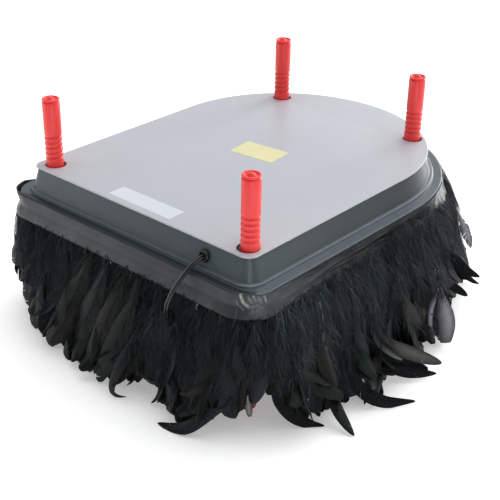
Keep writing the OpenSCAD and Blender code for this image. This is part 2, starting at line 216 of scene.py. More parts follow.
def ring_mesh(profile, samples=None, closed=True):
    """Sweeps (e, z) round the outline, e measured outward from its edge."""
    base, normal = samples if samples is not None else outline()
    n, m = len(base), len(profile)
    verts = np.zeros((m, n, 3))
    for i, (e, z) in enumerate(profile):
        verts[i, :, :2] = base + normal * e
        verts[i, :, 2] = z
    faces = []
    for i in range(m if closed else m - 1):
        j = (i + 1) % m
        for k in range(n):
            l = (k + 1) % n
            faces.append((i * n + k, i * n + l, j * n + l, j * n + k))
    return verts.reshape(-1, 3) * MM, faces


def plate_mesh(inset, z0, z1, holes, edge_r, hole_edge, samples):
    """A flat plate with the outline's shape, rounded top edge and holes."""
    base, normal = samples
    bm = bmesh.new()

    def loop(pts, z):
        return [bm.verts.new((x * MM, y * MM, z * MM)) for x, y in pts]

    def skin(a, b, flip=False):
        n = len(a)
        for k in range(n):
            l = (k + 1) % n
            f = (a[k], a[l], b[l], b[k])
            bm.faces.new(f[::-1] if flip else f)

    outer = [loop(base - normal * inset, z0)]
    for k in range(6):
        t = math.pi / 2 * k / 5
        outer.append(loop(base - normal * (inset + edge_r * (1 - math.cos(t))),
                          z1 - edge_r * (1 - math.sin(t))))
    for a, b in zip(outer[:-1], outer[1:]):
        skin(a, b)
    tops, bottoms = [outer[-1]], [outer[0]]
    ang = np.linspace(0, 2 * math.pi, 72, endpoint=False)
    for x, y, r in holes:
        def ring(rr, z):
            return loop(np.stack([x + rr * np.cos(ang), y + rr * np.sin(ang)], 1), z)
        rows = [ring(r, z0)]
        for k in range(4):
            t = math.pi / 2 * k / 3
            rows.append(ring(r + hole_edge * (1 - math.cos(t)), z1 - hole_edge * (1 - math.sin(t))))
        for a, b in zip(rows[:-1], rows[1:]):
            skin(a, b, flip=True)
        tops.append(rows[-1]); bottoms.append(rows[0])
    for loops, up in ((tops, True), (bottoms, False)):
        edges = []
        for lp in loops:
            for k in range(len(lp)):
                pair = (lp[k], lp[(k + 1) % len(lp)])
                edges.append(bm.edges.get(pair) or bm.edges.new(pair))
        got = bmesh.ops.triangle_fill(bm, use_beauty=True, use_dissolve=False, edges=edges,
                                      normal=(0, 0, 1 if up else -1))
        for f in got["geom"]:
            if isinstance(f, bmesh.types.BMFace):
                f.normal_update()
                if (f.normal.z > 0) != up:
                    f.normal_flip()
    bm.verts.index_update()
    verts = [tuple(v.co) for v in bm.verts]
    faces = [[v.index for v in f.verts] for f in bm.faces]
    bm.free()
    return verts, faces


# --------------------------------------------------------------- materials

class Mat:
    def __init__(self, name):
        self.m = bpy.data.materials.new(name)
        self.m.use_nodes = True
        self.t = self.m.node_tree
        self.b = self.t.nodes["Principled BSDF"]
        self.coord = None

    def node(self, kind, **props):
        n = self.t.nodes.new(kind)
        for k, v in props.items():
            setattr(n, k, v)
        return n

    def link(self, a, b):
        self.t.links.new(a, b)

    def pos(self):
        if self.coord is None:
            self.coord = self.node("ShaderNodeTexCoord")
        return self.coord.outputs["Object"]

    def scaled(self, scale):
        n = self.node("ShaderNodeMapping")
        n.inputs["Scale"].default_value = scale
        self.link(self.pos(), n.inputs["Vector"])
        return n.outputs["Vector"]

    def noise(self, scale, detail=3.0, rough=0.55, vec=None, distortion=0.0):
        n = self.node("ShaderNodeTexNoise")
        n.inputs["Scale"].default_value = scale
        n.inputs["Detail"].default_value = detail
        n.inputs["Roughness"].default_value = rough
        n.inputs["Distortion"].default_value = distortion
        self.link(vec if vec is not None else self.pos(), n.inputs["Vector"])
        return n.outputs["Fac"]

    def voronoi(self, scale, feature="F1", vec=None):
        n = self.node("ShaderNodeTexVoronoi", feature=feature)
        n.inputs["Scale"].default_value = scale
        self.link(vec if vec is not None else self.pos(), n.inputs["Vector"])
        return n.outputs["Distance"]

    def remap(self, value, a, b, c, d):
        n = self.node("ShaderNodeMapRange")
        n.inputs[1].default_value, n.inputs[2].default_value = a, b
        n.inputs[3].default_value, n.inputs[4].default_value = c, d
        self.link(value, n.inputs[0])
        return n.outputs[0]

    def math(self, op, a, b=None):
        n = self.node("ShaderNodeMath", operation=op)
        for i, x in enumerate((a, b)):
            if x is None:
                continue
            if isinstance(x, (int, float)):
                n.inputs[i].default_value = x
            else:
                self.link(x, n.inputs[i])
        return n.outputs[0]

    def ramp(self, value, stops):
        n = self.node("ShaderNodeValToRGB")
        el = n.color_ramp.elements
        while len(el) < len(stops):
            el.new(0.5)
        for e, (p, c) in zip(el, stops):
            e.position = p
            e.color = (*c, 1)
        self.link(value, n.inputs[0])
        return n.outputs["Color"]

    def mix(self, fac, a, b, blend="MIX"):
        n = self.node("ShaderNodeMix", data_type="RGBA", blend_type=blend)
        for i, x in ((0, fac), (6, a), (7, b)):
            if isinstance(x, (int, float)):
                n.inputs[i].default_value = x
            elif isinstance(x, tuple):
                n.inputs[i].default_value = (*x, 1)
            else:
                self.link(x, n.inputs[i])
        return n.outputs[2]

    def bump(self, height, strength, distance, normal=None):
        n = self.node("ShaderNodeBump")
        n.inputs["Strength"].default_value = strength
        n.inputs["Distance"].default_value = distance
        self.link(height, n.inputs["Height"])
        if normal is not None:
            self.link(normal, n.inputs["Normal"])
        return n.outputs["Normal"]

    def set(self, **values):
        for k, v in values.items():
            s = self.b.inputs[k.replace("_", " ")]
            if hasattr(v, "is_linked"):
                self.link(v, s)
            elif isinstance(v, tuple):
                s.default_value = (*v, 1) if len(v) == 3 else v
            else:
                s.default_value = v
        return self


def moulded(name, dark, light, rough, spot=40, grain=1400, bump=0.08, spec=0.5, **more):
    """Moulded plastic: slow colour drift, fine grain, roughness to match."""
    k = Mat(name)
    drift = k.noise(spot, 4)
    fine = k.noise(grain, 2)
    k.set(Base_Color=k.ramp(drift, [(0.25, dark), (0.75, light)]),
          Roughness=k.remap(k.noise(spot * 5, 3), 0.3, 0.7, rough[0], rough[1]),
          Normal=k.bump(fine, bump, 0.0002))
    k.b.inputs["Specular IOR Level"].default_value = spec
    for key, v in more.items():
        k.b.inputs[key.replace("_", " ")].default_value = v
    return k.m


M = {}
M["cover_sheet"] = moulded("cover_sheet", (0.462, 0.484, 0.520), (0.490, 0.513, 0.551), (0.36, 0.46), spot=9, grain=900, bump=0.06)
k = Mat("housing_plastic")
at = k.node("ShaderNodeAttribute", attribute_name="painted_light")
grey = k.ramp(k.noise(14, 4), [(0.25, (0.064, 0.083, 0.095)), (0.75, (0.075, 0.095, 0.108))])
sep = k.node("ShaderNodeSeparateColor")
k.link(at.outputs["Color"], sep.inputs[0])
# painted shade: darker where the vertex colour's second channel is set, the right wall and flange towards the far end
grey = k.mix(k.math("MULTIPLY", sep.outputs[1], 0.86), grey, (0.016, 0.023, 0.028))
# painted highlight: lighter grey where the vertex colour's first channel is set, along the bead crest, the flange lip,
# the right flange top and the wall's front right corner
grey = k.mix(k.math("MULTIPLY", sep.outputs[0], k.remap(k.noise(180, 4), 0.3, 0.7, 0.55, 1.0)), grey, (0.28, 0.31, 0.34))
k.set(Base_Color=grey, Roughness=k.remap(k.noise(70, 3), 0.3, 0.7, 0.28, 0.38), Normal=k.bump(k.noise(1100, 2), 0.07, 0.0002))
k.b.inputs["Specular IOR Level"].default_value = 0.32
M["housing_plastic"] = k.m
M["black_plastic"] = moulded("black_plastic", (0.014, 0.014, 0.016), (0.024, 0.024, 0.027), (0.38, 0.52), spot=60)
M["white_plastic"] = moulded("white_plastic", (0.74, 0.74, 0.71), (0.82, 0.82, 0.80), (0.35, 0.5), spot=80)
k = Mat("red_plastic")
at = k.node("ShaderNodeAttribute", attribute_name="painted_leg_shade")
red = k.ramp(k.noise(30, 2), [(0.2, (0.975, 0.047, 0.044)), (0.8, (0.995, 0.056, 0.052))])
# painted shade: the red darkened in the grooves, in the cap's dish and low down towards the floor
red = k.mix(k.math("MULTIPLY", at.outputs["Fac"], 0.9), red, (0.20, 0.005, 0.006))
k.set(Base_Color=red, Roughness=k.remap(k.noise(120, 2), 0.3, 0.7, 0.27, 0.33), Normal=k.bump(k.noise(700, 2), 0.03, 0.0002))
M["red_plastic"] = k.m
M["sealant"] = moulded("sealant", (0.50, 0.50, 0.47), (0.60, 0.60, 0.57), (0.35, 0.5), spot=120, grain=500, bump=0.3)
M["aluminium_sheet"] = moulded("aluminium_sheet", (0.70, 0.71, 0.72), (0.78, 0.79, 0.80), (0.28, 0.42), spot=60, Metallic=1.0)
M["heater_sheath"] = moulded("heater_sheath", (0.66, 0.62, 0.50), (0.74, 0.70, 0.60), (0.4, 0.55), spot=120)
M["foam"] = moulded("foam", (0.80, 0.79, 0.70), (0.88, 0.87, 0.80), (0.8, 0.95), spot=300, grain=700, bump=0.5)
M["fuse_ceramic"] = moulded("fuse_ceramic", (0.66, 0.64, 0.60), (0.74, 0.72, 0.68), (0.3, 0.45), spot=300)
M["steel"] = moulded("steel", (0.52, 0.52, 0.54), (0.62, 0.62, 0.64), (0.22, 0.36), spot=200, Metallic=1.0)
M["lead_sheath"] = moulded("lead_sheath", (0.42, 0.07, 0.05), (0.50, 0.10, 0.07), (0.3, 0.45), spot=150)
M["black_rubber"] = moulded("black_rubber", (0.007, 0.007, 0.008), (0.013, 0.013, 0.014), (0.22, 0.36), spot=150, grain=900, bump=0.08, spec=0.4)
k = Mat("cord_sheath")
at = k.node("ShaderNodeAttribute", attribute_name="painted_cord_highlight")
sep = k.node("ShaderNodeSeparateColor")
k.link(at.outputs["Color"], sep.inputs[0])
sheath = k.ramp(k.noise(160, 4), [(0.25, (0.005, 0.005, 0.006)), (0.75, (0.009, 0.009, 0.010))])
# painted highlight: the sheath lightened along the tops of the two cores, where the vertex colour is set
sheath = k.mix(k.math("MULTIPLY", sep.outputs[0], k.remap(k.noise(400, 3), 0.3, 0.7, 0.75, 1.0)), sheath, (0.19, 0.195, 0.205))
k.set(Base_Color=sheath, Roughness=k.remap(k.noise(800, 3), 0.3, 0.7, 0.14, 0.22), Normal=k.bump(k.noise(1200, 2), 0.04, 0.0002))
k.b.inputs["Specular IOR Level"].default_value = 0.32
M["cord_sheath"] = k.m
M["pin_brass"] = moulded("pin_brass", (0.66, 0.60, 0.44), (0.74, 0.69, 0.54), (0.2, 0.34), spot=200, Metallic=1.0)
M["white_label"] = moulded("white_label", (0.625, 0.655, 0.70), (0.66, 0.69, 0.735), (0.30, 0.42), spot=60, grain=600, bump=0.1)
M["yellow_sticker"] = moulded("yellow_sticker", (0.72, 0.675, 0.35), (0.785, 0.74, 0.42), (0.30, 0.42), spot=60, grain=600, bump=0.1)

slot_of = {p["node"]: p["material_slot"] for p in frame["record"]["subparts"]}


def wear(name, material):
    ob = NODES[name]
    ob.data.materials.clear()
    ob.data.materials.append(material)


# ------------------------------------------------------- plate and its legs

LEGS = {"front_left": (-160.0, -209.0), "front_right": (160.0, -209.0),
        "rear_left": (-112.0, 168.5), "rear_right": (112.0, 168.5)}
SAMPLES = outline(44, 22, 40, 150)

LEAN = {"front_left": 0.9, "front_right": -2.0, "rear_left": 0.5, "rear_right": 0.8}
holes = [(x + 0.757 * LEAN[k], y + 0.653 * LEAN[k], 12.9) for k, (x, y) in LEGS.items()]
v, f = plate_mesh(21.2, 203.4, 205, [(x + 0.8, y - 0.8, r) for x, y, r in holes], 0.8, 0.5, SAMPLES)
v = np.array(v) + np.array((-0.8, 0.8, 0)) * MM
cover = add_object("cover_sheet_skin", v, f, M["cover_sheet"])
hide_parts("top_cover"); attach(cover, "plate")

shell = fillet([(-27.2, 203.4, 0), (-24.4, 203.4, 2.2), (-17.0, 176.2, 0.9), (-12.6, 175.9, 1.1),
                (-11.8, 172.7, 0.5), (-2.4, 172.7, 0), (-0.2, 172.7, 1.3), (0, 160, 0.5), (-2.5, 160, 0.5),
                (-2.6, 170.2, 0.8), (-13.6, 170.2, 0.8), (-14.6, 173.4, 0.6), (-19.0, 173.7, 0.8),
                (-26.0, 200.9, 1.2), (-27.2, 200.9, 0)], seg=5)
v, f = ring_mesh(shell, SAMPLES, closed=False)
prof = np.array(shell)
# painted highlights on the housing: along the bead crest and the flange lip, stronger where the edge faces right, on
# the flange top along the right side, and down the wall at the front right corner
crest_highlight = np.exp(-((prof[:, 0] + 13.7) / 1.5) ** 2) * ease((prof[:, 1] - 174.6) / 1.2)
lip_highlight = ease((prof[:, 0] + 2.2) / 1.2) * ease((prof[:, 1] - 170.6) / 1.2)
turned = 0.22 + 0.78 * ease((SAMPLES[1][:, 0] + 0.1) / 0.8)
straight = ease((SAMPLES[1][:, 0] - 0.80) / 0.15)
painted_light = np.maximum(crest_highlight[:, None] * (1 - 0.35 * straight)[None, :], lip_highlight[:, None] * (1 - 0.72 * straight)[None, :]) * turned[None, :]
# painted highlight: the flange top along the right side a little lighter
level = (prof[:, 0] > -11.9) & (prof[:, 0] < -1.2) & (prof[:, 1] > 171.5)
painted_light = np.maximum(painted_light, 0.24 * level[:, None] * straight[None, :])
upright = (prof[:, 0] > -24.8) & (prof[:, 0] < -16.9) & (prof[:, 1] > 176)
bend = np.degrees(np.arctan2(SAMPLES[1][:, 1], SAMPLES[1][:, 0]))
painted_light = np.maximum(painted_light, 0.22 * upright[:, None] * np.exp(-((bend + 43) / 9) ** 2)[None, :]).reshape(-1)
way = np.concatenate([[0], np.cumsum(np.linalg.norm(np.diff(SAMPLES[0], axis=0), axis=1))])
# painted shade: the right wall, and a little the flange, darker towards the far end
far_side_shade = ease((way - 365) / 320) * ease((790 - way) / 70)
outer = np.where(upright, 1.0, np.where((prof[:, 0] > -12.2) & (prof[:, 1] > 171), 0.22, 0.0))
painted_far_shade = (outer[:, None] * (0.25 * ease((way - 350) / 25) * ease((790 - way) / 70) + 0.75 * far_side_shade)[None, :]).reshape(-1)
housing = add_object("housing_shell", v, f, M["housing_plastic"], sharp_deg=30)
att = housing.data.color_attributes.new("painted_light", "FLOAT_COLOR", "POINT")
att.data.foreach_set("color", np.stack([painted_light, painted_far_shade, painted_light, np.ones_like(painted_light)], 1).astype(np.float32).ravel())
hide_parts("housing"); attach(housing, "plate")

LR, Z_RIM, PITCH, GRIP = 10.7, 291.0, 6.7, 175.9
grooves = [GRIP + PITCH * k for k in list(range(-12, -7)) + list(range(-4, 1)) + list(range(6, 11))]
leg_profile = [(LR - 2.5, 6.0), (LR, 6.0)]
for g in grooves:
    leg_profile += fillet([(LR, g - 3.0, 0), (LR, g - 1.9, 1.4), (LR - 1.05, g - 0.35, 0.5), (LR - 1.05, g + 0.35, 0.5),
                           (LR, g + 1.9, 1.4), (LR, g + 3.0, 0)], seg=5)
leg_profile += [(LR, Z_RIM - 5.2), (LR - 0.12, Z_RIM - 4.9), (LR - 0.5, Z_RIM - 4.4), (LR - 1.0, Z_RIM - 3.9), (LR - 1.3, Z_RIM - 3.6), (LR - 2.5, Z_RIM - 3.6)]
cap_profile = fillet([(0, Z_RIM - 15, 0), (LR - 2.6, Z_RIM - 15, 0), (LR - 2.6, Z_RIM - 3.6, 0),
                      (LR - 1.3, Z_RIM - 3.6, 0.1), (LR - 1.3, Z_RIM - 3.2, 0.3), (LR, Z_RIM - 2.1, 0.8),
                      (LR - 0.2, Z_RIM - 0.3, 1.1), (LR - 2.2, Z_RIM - 0.3, 0.8), (LR - 3.6, Z_RIM - 2.2, 0.8),
                      (5.0, Z_RIM - 2.2, 1.0), (2.6, Z_RIM + 1.0, 1.2), (0, Z_RIM + 1.5, 0)], seg=5)
foot_profile = fillet([(0, 0, 0), (LR, 0, 1.6), (LR, 6, 0), (LR - 2.6, 6, 0), (LR - 2.6, 18, 0.6),
                       (0, 18, 0)], seg=5)
for key, (x, y) in LEGS.items():
    for part, prof in (("leg", leg_profile), ("cap", cap_profile), ("foot", foot_profile)):
        v, f = lathe(prof)
        v = (v + (x, y, 0)) * MM
        ob = add_object(f"{part}_{key}_turned", v, f, M["red_plastic"], sharp_deg=50)
        r = np.hypot(v[:, 0] - x * MM, v[:, 1] - y * MM) / MM
        # painted shade: darker low down towards the floor, in the grooves and in the cap's dish
        low = ease((0.060 - v[:, 2]) / 0.040)
        painted_leg_shade = np.maximum(ease((LR - 0.2 - r) / 0.9) * 0.28, low) if part == "leg" else np.maximum(ease((LR - 2.6 - r) / 1.2) * 0.12, low)
        att = ob.data.color_attributes.new("painted_leg_shade", "FLOAT_COLOR", "POINT")
        att.data.foreach_set("color", np.stack([painted_leg_shade, painted_leg_shade, painted_leg_shade, np.ones_like(painted_leg_shade)], 1).astype(np.float32).ravel())
        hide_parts(f"{part}_{key}"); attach(ob, f"leg_{key}")

# ----------------------------------------------------------- cord and plug

ROUTE = [(115.4, -226, 188), (115.4, -233, 188), (114.8, -240, 186.8), (113.4, -247.6, 183.4),
         (111.4, -255.4, 177.6), (109.2, -262.2, 170.4), (106.6, -268, 161.6), (103.6, -272.8, 151),
         (100.4, -275.4, 139.4), (97.6, -274.6, 127), (95.2, -270.8, 114.5), (93.4, -265.6, 102),
         (91.8, -261.2, 88), (90, -258.8, 73), (87.4, -258, 57), (83.4, -258.2, 40), (76.8, -258.4, 25), (67, -258.2, 13),
         (54, -257.6, 6), (38, -253.4, 3.4), (18, -250, 3), (-10, -247, 3), (-40, -245.4, 3),
         (-75, -245, 3), (-105, -245, 3), (-130, -244, 3), (-150, -238.6, 3), (-168, -228, 3),
         (-182, -212, 3), (-190.6, -193, 3), (-194, -170, 3), (-195, -140, 3), (-195, -100, 3),
         (-195, -60, 3), (-196, -20, 3), (-199, 20, 3), (-206, 60, 3), (-216, 100, 3), (-227, 140, 3),
         (-237, 180, 3), (-243.6, 220, 3.4), (-246, 258, 4.2)]
COIL = (-215.0, 266.0)


def smooth_path(points, step):
    """Catmull-Rom through the points, then evenly spaced."""
    p = np.array(points, float)
    p = np.vstack([2 * p[0] - p[1], p, 2 * p[-1] - p[-2]])
    out = []
    for i in range(1, len(p) - 2):
        a, b, c, d = p[i - 1:i + 3]
        for t in np.linspace(0, 1, 12, endpoint=False):
            out.append(0.5 * (2 * b + (c - a) * t + (2 * a - 5 * b + 4 * c - d) * t * t
                              + (3 * b - a - 3 * c + d) * t ** 3))
    out.append(p[-2])
    out = np.array(out)
    s = np.concatenate([[0], np.cumsum(np.linalg.norm(np.diff(out, axis=0), axis=1))])
    at = np.linspace(0, s[-1], max(2, int(round(s[-1] / step)) + 1))
    return np.stack([np.interp(at, s, out[:, k]) for k in range(3)], 1)


run = np.array(ROUTE, float)
floor_part = np.arange(len(run)) >= 22
run[floor_part, 2] -= 0.7
coil_pts = []
turns = 4.25
for k in range(1, int(turns * 40) + 1):
    u = k / 40
    a = math.radians(180 - 360 * u)
    # outer and inner track of the lower layer, then of the upper, then on top
    track = [(33.9, 2.3), (28.1, 2.3), (28.2, 6.7), (33.8, 6.7), (31.0, 10.9)]
    i = min(int(u), 4)
    here, nxt = track[i], track[min(i + 1, 4)]
    w = ease((u - i - 0.86) / 0.14) if i < 4 else 0
    r, z = here[0] + (nxt[0] - here[0]) * w, here[1] + (nxt[1] - here[1]) * w
    if u < 0.22:
        w0 = ease(u / 0.22)
        r, z = 31.0 + (33.9 - 31.0) * w0, 3.4 + (2.3 - 3.4) * w0
    coil_pts.append((COIL[0] + r * math.cos(a), COIL[1] + r * math.sin(a), z))
tail_pts = [(-206, 297.1, 10.2), (-197, 297.1, 8.4), (-190, 297.0, 7.3), (-184, 297.0, 7.0)]
cord_line = smooth_path(np.vstack([run, np.array(coil_pts), np.array(tail_pts)]), 3.2)


def cord_section(n=32):
    a = np.linspace(0, 2 * math.pi, n, endpoint=False)
    x = 2.8 * np.sign(np.cos(a)) * np.abs(np.cos(a)) ** 0.9
    y = 2.0 * np.sign(np.sin(a)) * np.abs(np.sin(a)) ** 0.8
    y = y * (1 - 0.46 * np.exp(-(x / 0.8) ** 2))
    return x, y


def sweep_cord(line):
    n = len(line)
    tan = np.gradient(line, axis=0)
    tan /= np.linalg.norm(tan, axis=1, keepdims=True)
    s = np.concatenate([[0], np.cumsum(np.linalg.norm(np.diff(line, axis=0), axis=1))])
    side = np.array([0.45, -0.80, 0.38]); side /= np.linalg.norm(side)
    front, up = np.array([0.15, -0.98, 0.05]), np.array([0, 0, 1.0])
    w1, w2 = ease((s - 110) / 60)[:, None], ease((s - 240) / 70)[:, None]
    face = side * (1 - w1) + front * w1
    face = face * (1 - w2) + up * w2
    wide = np.cross(tan, face)
    wide /= np.linalg.norm(wide, axis=1, keepdims=True)
    thick = np.cross(wide, tan)
    x, y = cord_section()
    verts = line[:, None, :] + wide[:, None, :] * x[None, :, None] + thick[:, None, :] * y[None, :, None]
    m = len(x)
    faces = [(i * m + k, i * m + (k + 1) % m, (i + 1) * m + (k + 1) % m, (i + 1) * m + k)
             for i in range(n - 1) for k in range(m)]
    faces.append(tuple(range(m))[::-1])
    faces.append(tuple((n - 1) * m + k for k in range(m)))
    return verts.reshape(-1, 3) * MM, faces


v, f = sweep_cord(cord_line)
cord = add_object("mains_cord", v, f, M["cord_sheath"], sharp_deg=60)
bm = bmesh.new(); bm.from_mesh(cord.data)
bmesh.ops.recalc_face_normals(bm, faces=bm.faces); bm.to_mesh(cord.data); bm.free()
x, y = cord_section()
s = np.concatenate([[0], np.cumsum(np.linalg.norm(np.diff(cord_line, axis=0), axis=1))])
# painted highlight along the tops of the two cores, brightest a little way out of the ring, weaker on the far core
ridge_highlight = np.exp(-((np.abs(x) - 1.75) / 0.5) ** 2) * ease((y - 0.3) / 0.6)
shine = 0.30 + 0.70 * np.exp(-(((s - 44) / 20) ** 2))
painted_cord_highlight = ridge_highlight[None, :] * np.where(x[None, :] > 0, shine[:, None], 0.22 + 0.30 * np.exp(-(((s[:, None] - 92) / 28) ** 2)))
att = cord.data.color_attributes.new("painted_cord_highlight", "FLOAT_COLOR", "POINT")
att.data.foreach_set("color", np.repeat(np.append(painted_cord_highlight.ravel(), np.zeros(len(cord.data.vertices) - painted_cord_highlight.size))[:, None], 4, 1).astype(np.float32).ravel())
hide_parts("power_cord", "cord_coil", "cord_tail")
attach(cord, "plate")

# rubber ring in the wall that the cord comes out of
WALL_A = math.radians(12.13)
ring_profile = fillet([(0, 0.25, 0), (4.0, 0.25, 0.3), (4.2, 2.6, 0.8), (5.0, 3.3, 0.8), (6.9, 3.3, 0.9),
                       (7.7, 2.2, 0.8), (7.7, 0.06, 0.0), (5.5, 0.06, 0)], seg=6)
v, f = lathe(ring_profile, 64)
tilt = np.array(Matrix.Rotation(math.pi / 2 - WALL_A, 3, "X"))
v = (v @ tilt.T + (115.4, -232.55, 188)) * MM
grommet = add_object("cable_ring", v, f, M["black_rubber"], sharp_deg=50)
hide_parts("cable_grommet"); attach(grommet, "plate")

# plug: ribbed bend relief and a flat body with rounded edges
relief = [(0, 0.0), (3.2, 0.0), (3.6, 0.3)]
for i in range(5):
    r0, r1 = 3.6 + 0.36 * i, 3.6 + 0.36 * i + 0.3
    z = 0.4 + 2.9 * i
    relief += [(r0, z), (r1, z + 0.25), (r1, z + 1.7), (r0 + 0.1, z + 1.95), (r0 - 0.5, z + 2.1), (r0 - 0.5, z + 2.8)]
relief += [(5.3, 15.0), (0, 15.0)]
v, f = lathe(relief, 40)
turn = np.array(Matrix.Rotation(math.pi / 2, 3, "Y"))
v = (v @ turn.T + (-185, 297, 7)) * MM
half = [(-171, 6), (-168, 7.5), (-151, 16.4), (-147, 17.4), (-142, 17.6), (-139, 15.6)]
loop = [(x, 297 - w) for x, w in half] + [(x, 297 + w) for x, w in half[::-1]]
bm = bmesh.new()
low = [bm.verts.new((x * MM, y * MM, 0.0002)) for x, y in loop]
high = [bm.verts.new((x * MM, y * MM, 0.0138)) for x, y in loop]
bm.faces.new(low[::-1]); bm.faces.new(high)
for i in range(len(loop)):
    j = (i + 1) % len(loop)
    bm.faces.new((low[i], low[j], high[j], high[i]))
sharp = [e for e in bm.edges if e.calc_face_angle(0) > 0.7]
bmesh.ops.bevel(bm, geom=sharp, offset=0.0026, segments=5, profile=0.6, affect="EDGES")
bm.verts.index_update()
pv = [tuple(q.co) for q in bm.verts]
pf = [[q.index for q in g.verts] for g in bm.faces]
bm.free()
n0 = len(v)
plug = add_object("plug_moulding", np.vstack([v, np.array(pv)]), list(f) + [[i + n0 for i in g] for g in pf],
                  M["black_plastic"], sharp_deg=42)
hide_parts("plug_body"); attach(plug, "plate")

# tie round the coil: a flat strip closed in a loop
tie_c = (COIL[0] + 31.0, 7.4)
path2 = fillet([(-7.2, -7.0, 3), (7.2, -7.0, 3), (7.2, 6.6, 3.6), (-7.2, 6.6, 3.6)], closed=True, seg=6)
path2 = np.array(path2 + [path2[0]])
tv, tf = [], []
for k, y in enumerate(np.linspace(-4, 4, 9)):
    bow = 0.25 * (1 - (y / 4) ** 2)
    for sgn in (0, 1):
        for (a, b) in path2[:-1]:
            g = 1 + (0.055 * sgn) + 0.012 * bow
            tv.append(((tie_c[0] + a * g) * MM, (COIL[1] + y) * MM, max(0.0001, (tie_c[1] + b * g) * MM)))
m = len(path2) - 1
for k in range(8):
    for sgn in (0, 1):
        for i in range(m):
            a, b = (k * 2 + sgn) * m, ((k + 1) * 2 + sgn) * m
            j = (i + 1) % m
            q = (a + i, a + j, b + j, b + i)
            tf.append(q if sgn == 0 else q[::-1])
for k in (0, 8):
    for i in range(m):
        a, b, j = k * 2 * m, (k * 2 + 1) * m, (i + 1) % m
        q = (a + i, a + j, b + j, b + i)
        tf.append(q[::-1] if k == 0 else q)
tie = add_object("coil_tie", tv, tf, M["white_plastic"], sharp_deg=50)
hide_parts("cord_tie"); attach(tie, "plate")

# ------------------------------------------------------------ band of tape

PUCKERS = [  # place, slant, half width, height, from, to
    (352, 26, 4.5, 1.0, 0.5, 1.2), (374, -8, 3.0, 0.8, 0.2, 1.1),
    (1560, 6, 4.0, 0.8, -0.2, 0.9), (1574, -4, 5.0, 0.7, -0.2, 0.8), (1590, 5, 4.0, 0.6, -0.2, 0.9)]
# folds of the crumpled corner, pushed out and painted pale, partly as stress whitening and partly as painted highlight:
# places in the picture, half width, strength
FOLDS = [([(240.5, 294.5), (241.5, 299), (244, 303.5), (247.5, 306)], 1.3, 0.85), ([(248.5, 297.5), (251.2, 302.5)], 1.2, 0.38),
         ([(253.2, 296.2), (255.4, 300.6)], 1.0, 0.48), ([(258.4, 297.4), (261, 302.6)], 1.2, 0.36), ([(264.2, 296), (266, 301.5)], 1.1, 0.4),
         ([(249, 307.5), (256, 306.4), (262, 307.4)], 1.9, 0.24), ([(251, 301), (260, 300.5)], 3.6, 0.15), ([(252, 311), (261, 312)], 4.5, 0.13),
         ([(236, 301), (239, 306), (244, 310)], 0.9, 0.2)]


def near_folds(pts):
    """Strength of the nearest fold at places given in mm."""
    u, v = project(pts * MM)
    best = np.zeros(u.shape)
    for line, wide, strength in FOLDS:
        far = np.full(u.shape, 1e9)
        for (x0, y0), (x1, y1) in zip(line[:-1], line[1:]):
            dx, dy = x1 - x0, y1 - y0
            t = np.clip(((u - x0) * dx + (v - y0) * dy) / (dx * dx + dy * dy), 0, 1)
            far = np.minimum(far, np.hypot(u - x0 - t * dx, v - y0 - t * dy))
        best = np.maximum(best, strength * np.exp(-(far / wide) ** 2))
    return best


def wrinkles(s, q):
    """How far the band stands off, in mm, and how pale it is painted, as crease whitening and as painted highlight: s
    round the edge, q 0 at the top and 1 at the bottom.
    """
    d = 0.20 * np.sin(s / 17.3) * np.sin(s / 41.0 + 1.3) + 0.12 * np.sin(s / 8.1 + 3.1 * q)
    whitening_and_highlight = np.zeros_like(d)
    # puckers where the tape turns the right front corner
    for s0, slant, wide, high, top, low in PUCKERS:
        line = s - s0 - slant * (q - 0.3)
        here = ease((q - top) / 0.14) * ease((low - q) / 0.2)
        d = d + high * np.exp(-np.abs(line / wide) ** 1.6) * here
    # creases on the right side, mostly along the tape
    side = ease((s - 372) / 25) * ease((655 - s) / 30)
    for q0, tilt, a, wide in ((0.22, 0.0011, 0.8, 0.07), (0.42, -0.0016, 1.0, 0.08), (0.60, 0.0009, 0.8, 0.07), (0.8, -0.001, 0.7, 0.08)):
        mid = q0 + tilt * (s - 510) + 0.05 * np.sin(s / 19.0 + 9 * q0)
        d = d + side * a * np.exp(-((q - mid) / wide) ** 2) * (0.55 + 0.45 * np.sin(s / 11.0 + 20 * q0))
        whitening_and_highlight = np.maximum(whitening_and_highlight, 0.10 * side * np.exp(-((q - mid + 0.03) / 0.03) ** 2) * (0.5 + 0.5 * np.sin(s / 7.0 + 31 * q0)))
    # the round end: upright folds
    end = ease((s - 640) / 30) * ease((1300 - s) / 30)
    d = d + end * 0.5 * np.sin(s / 6.7 + 2.0 * np.sin(s / 31)) * (0.35 + 0.65 * q)
    # painted highlight: a pale streaky patch on the band where the right side turns into the round end
    painted_end_highlight = np.exp(-(((s - 738) / 30) ** 2)) * ease((0.9 - q) / 0.45) * np.clip(0.5 + 0.65 * np.sin(s / 2.4 + 1.5 * q + 1.7 * np.sin(s / 9.0)), 0, 1)
    whitening_and_highlight = np.maximum(whitening_and_highlight, painted_end_highlight)
    return d, whitening_and_highlight


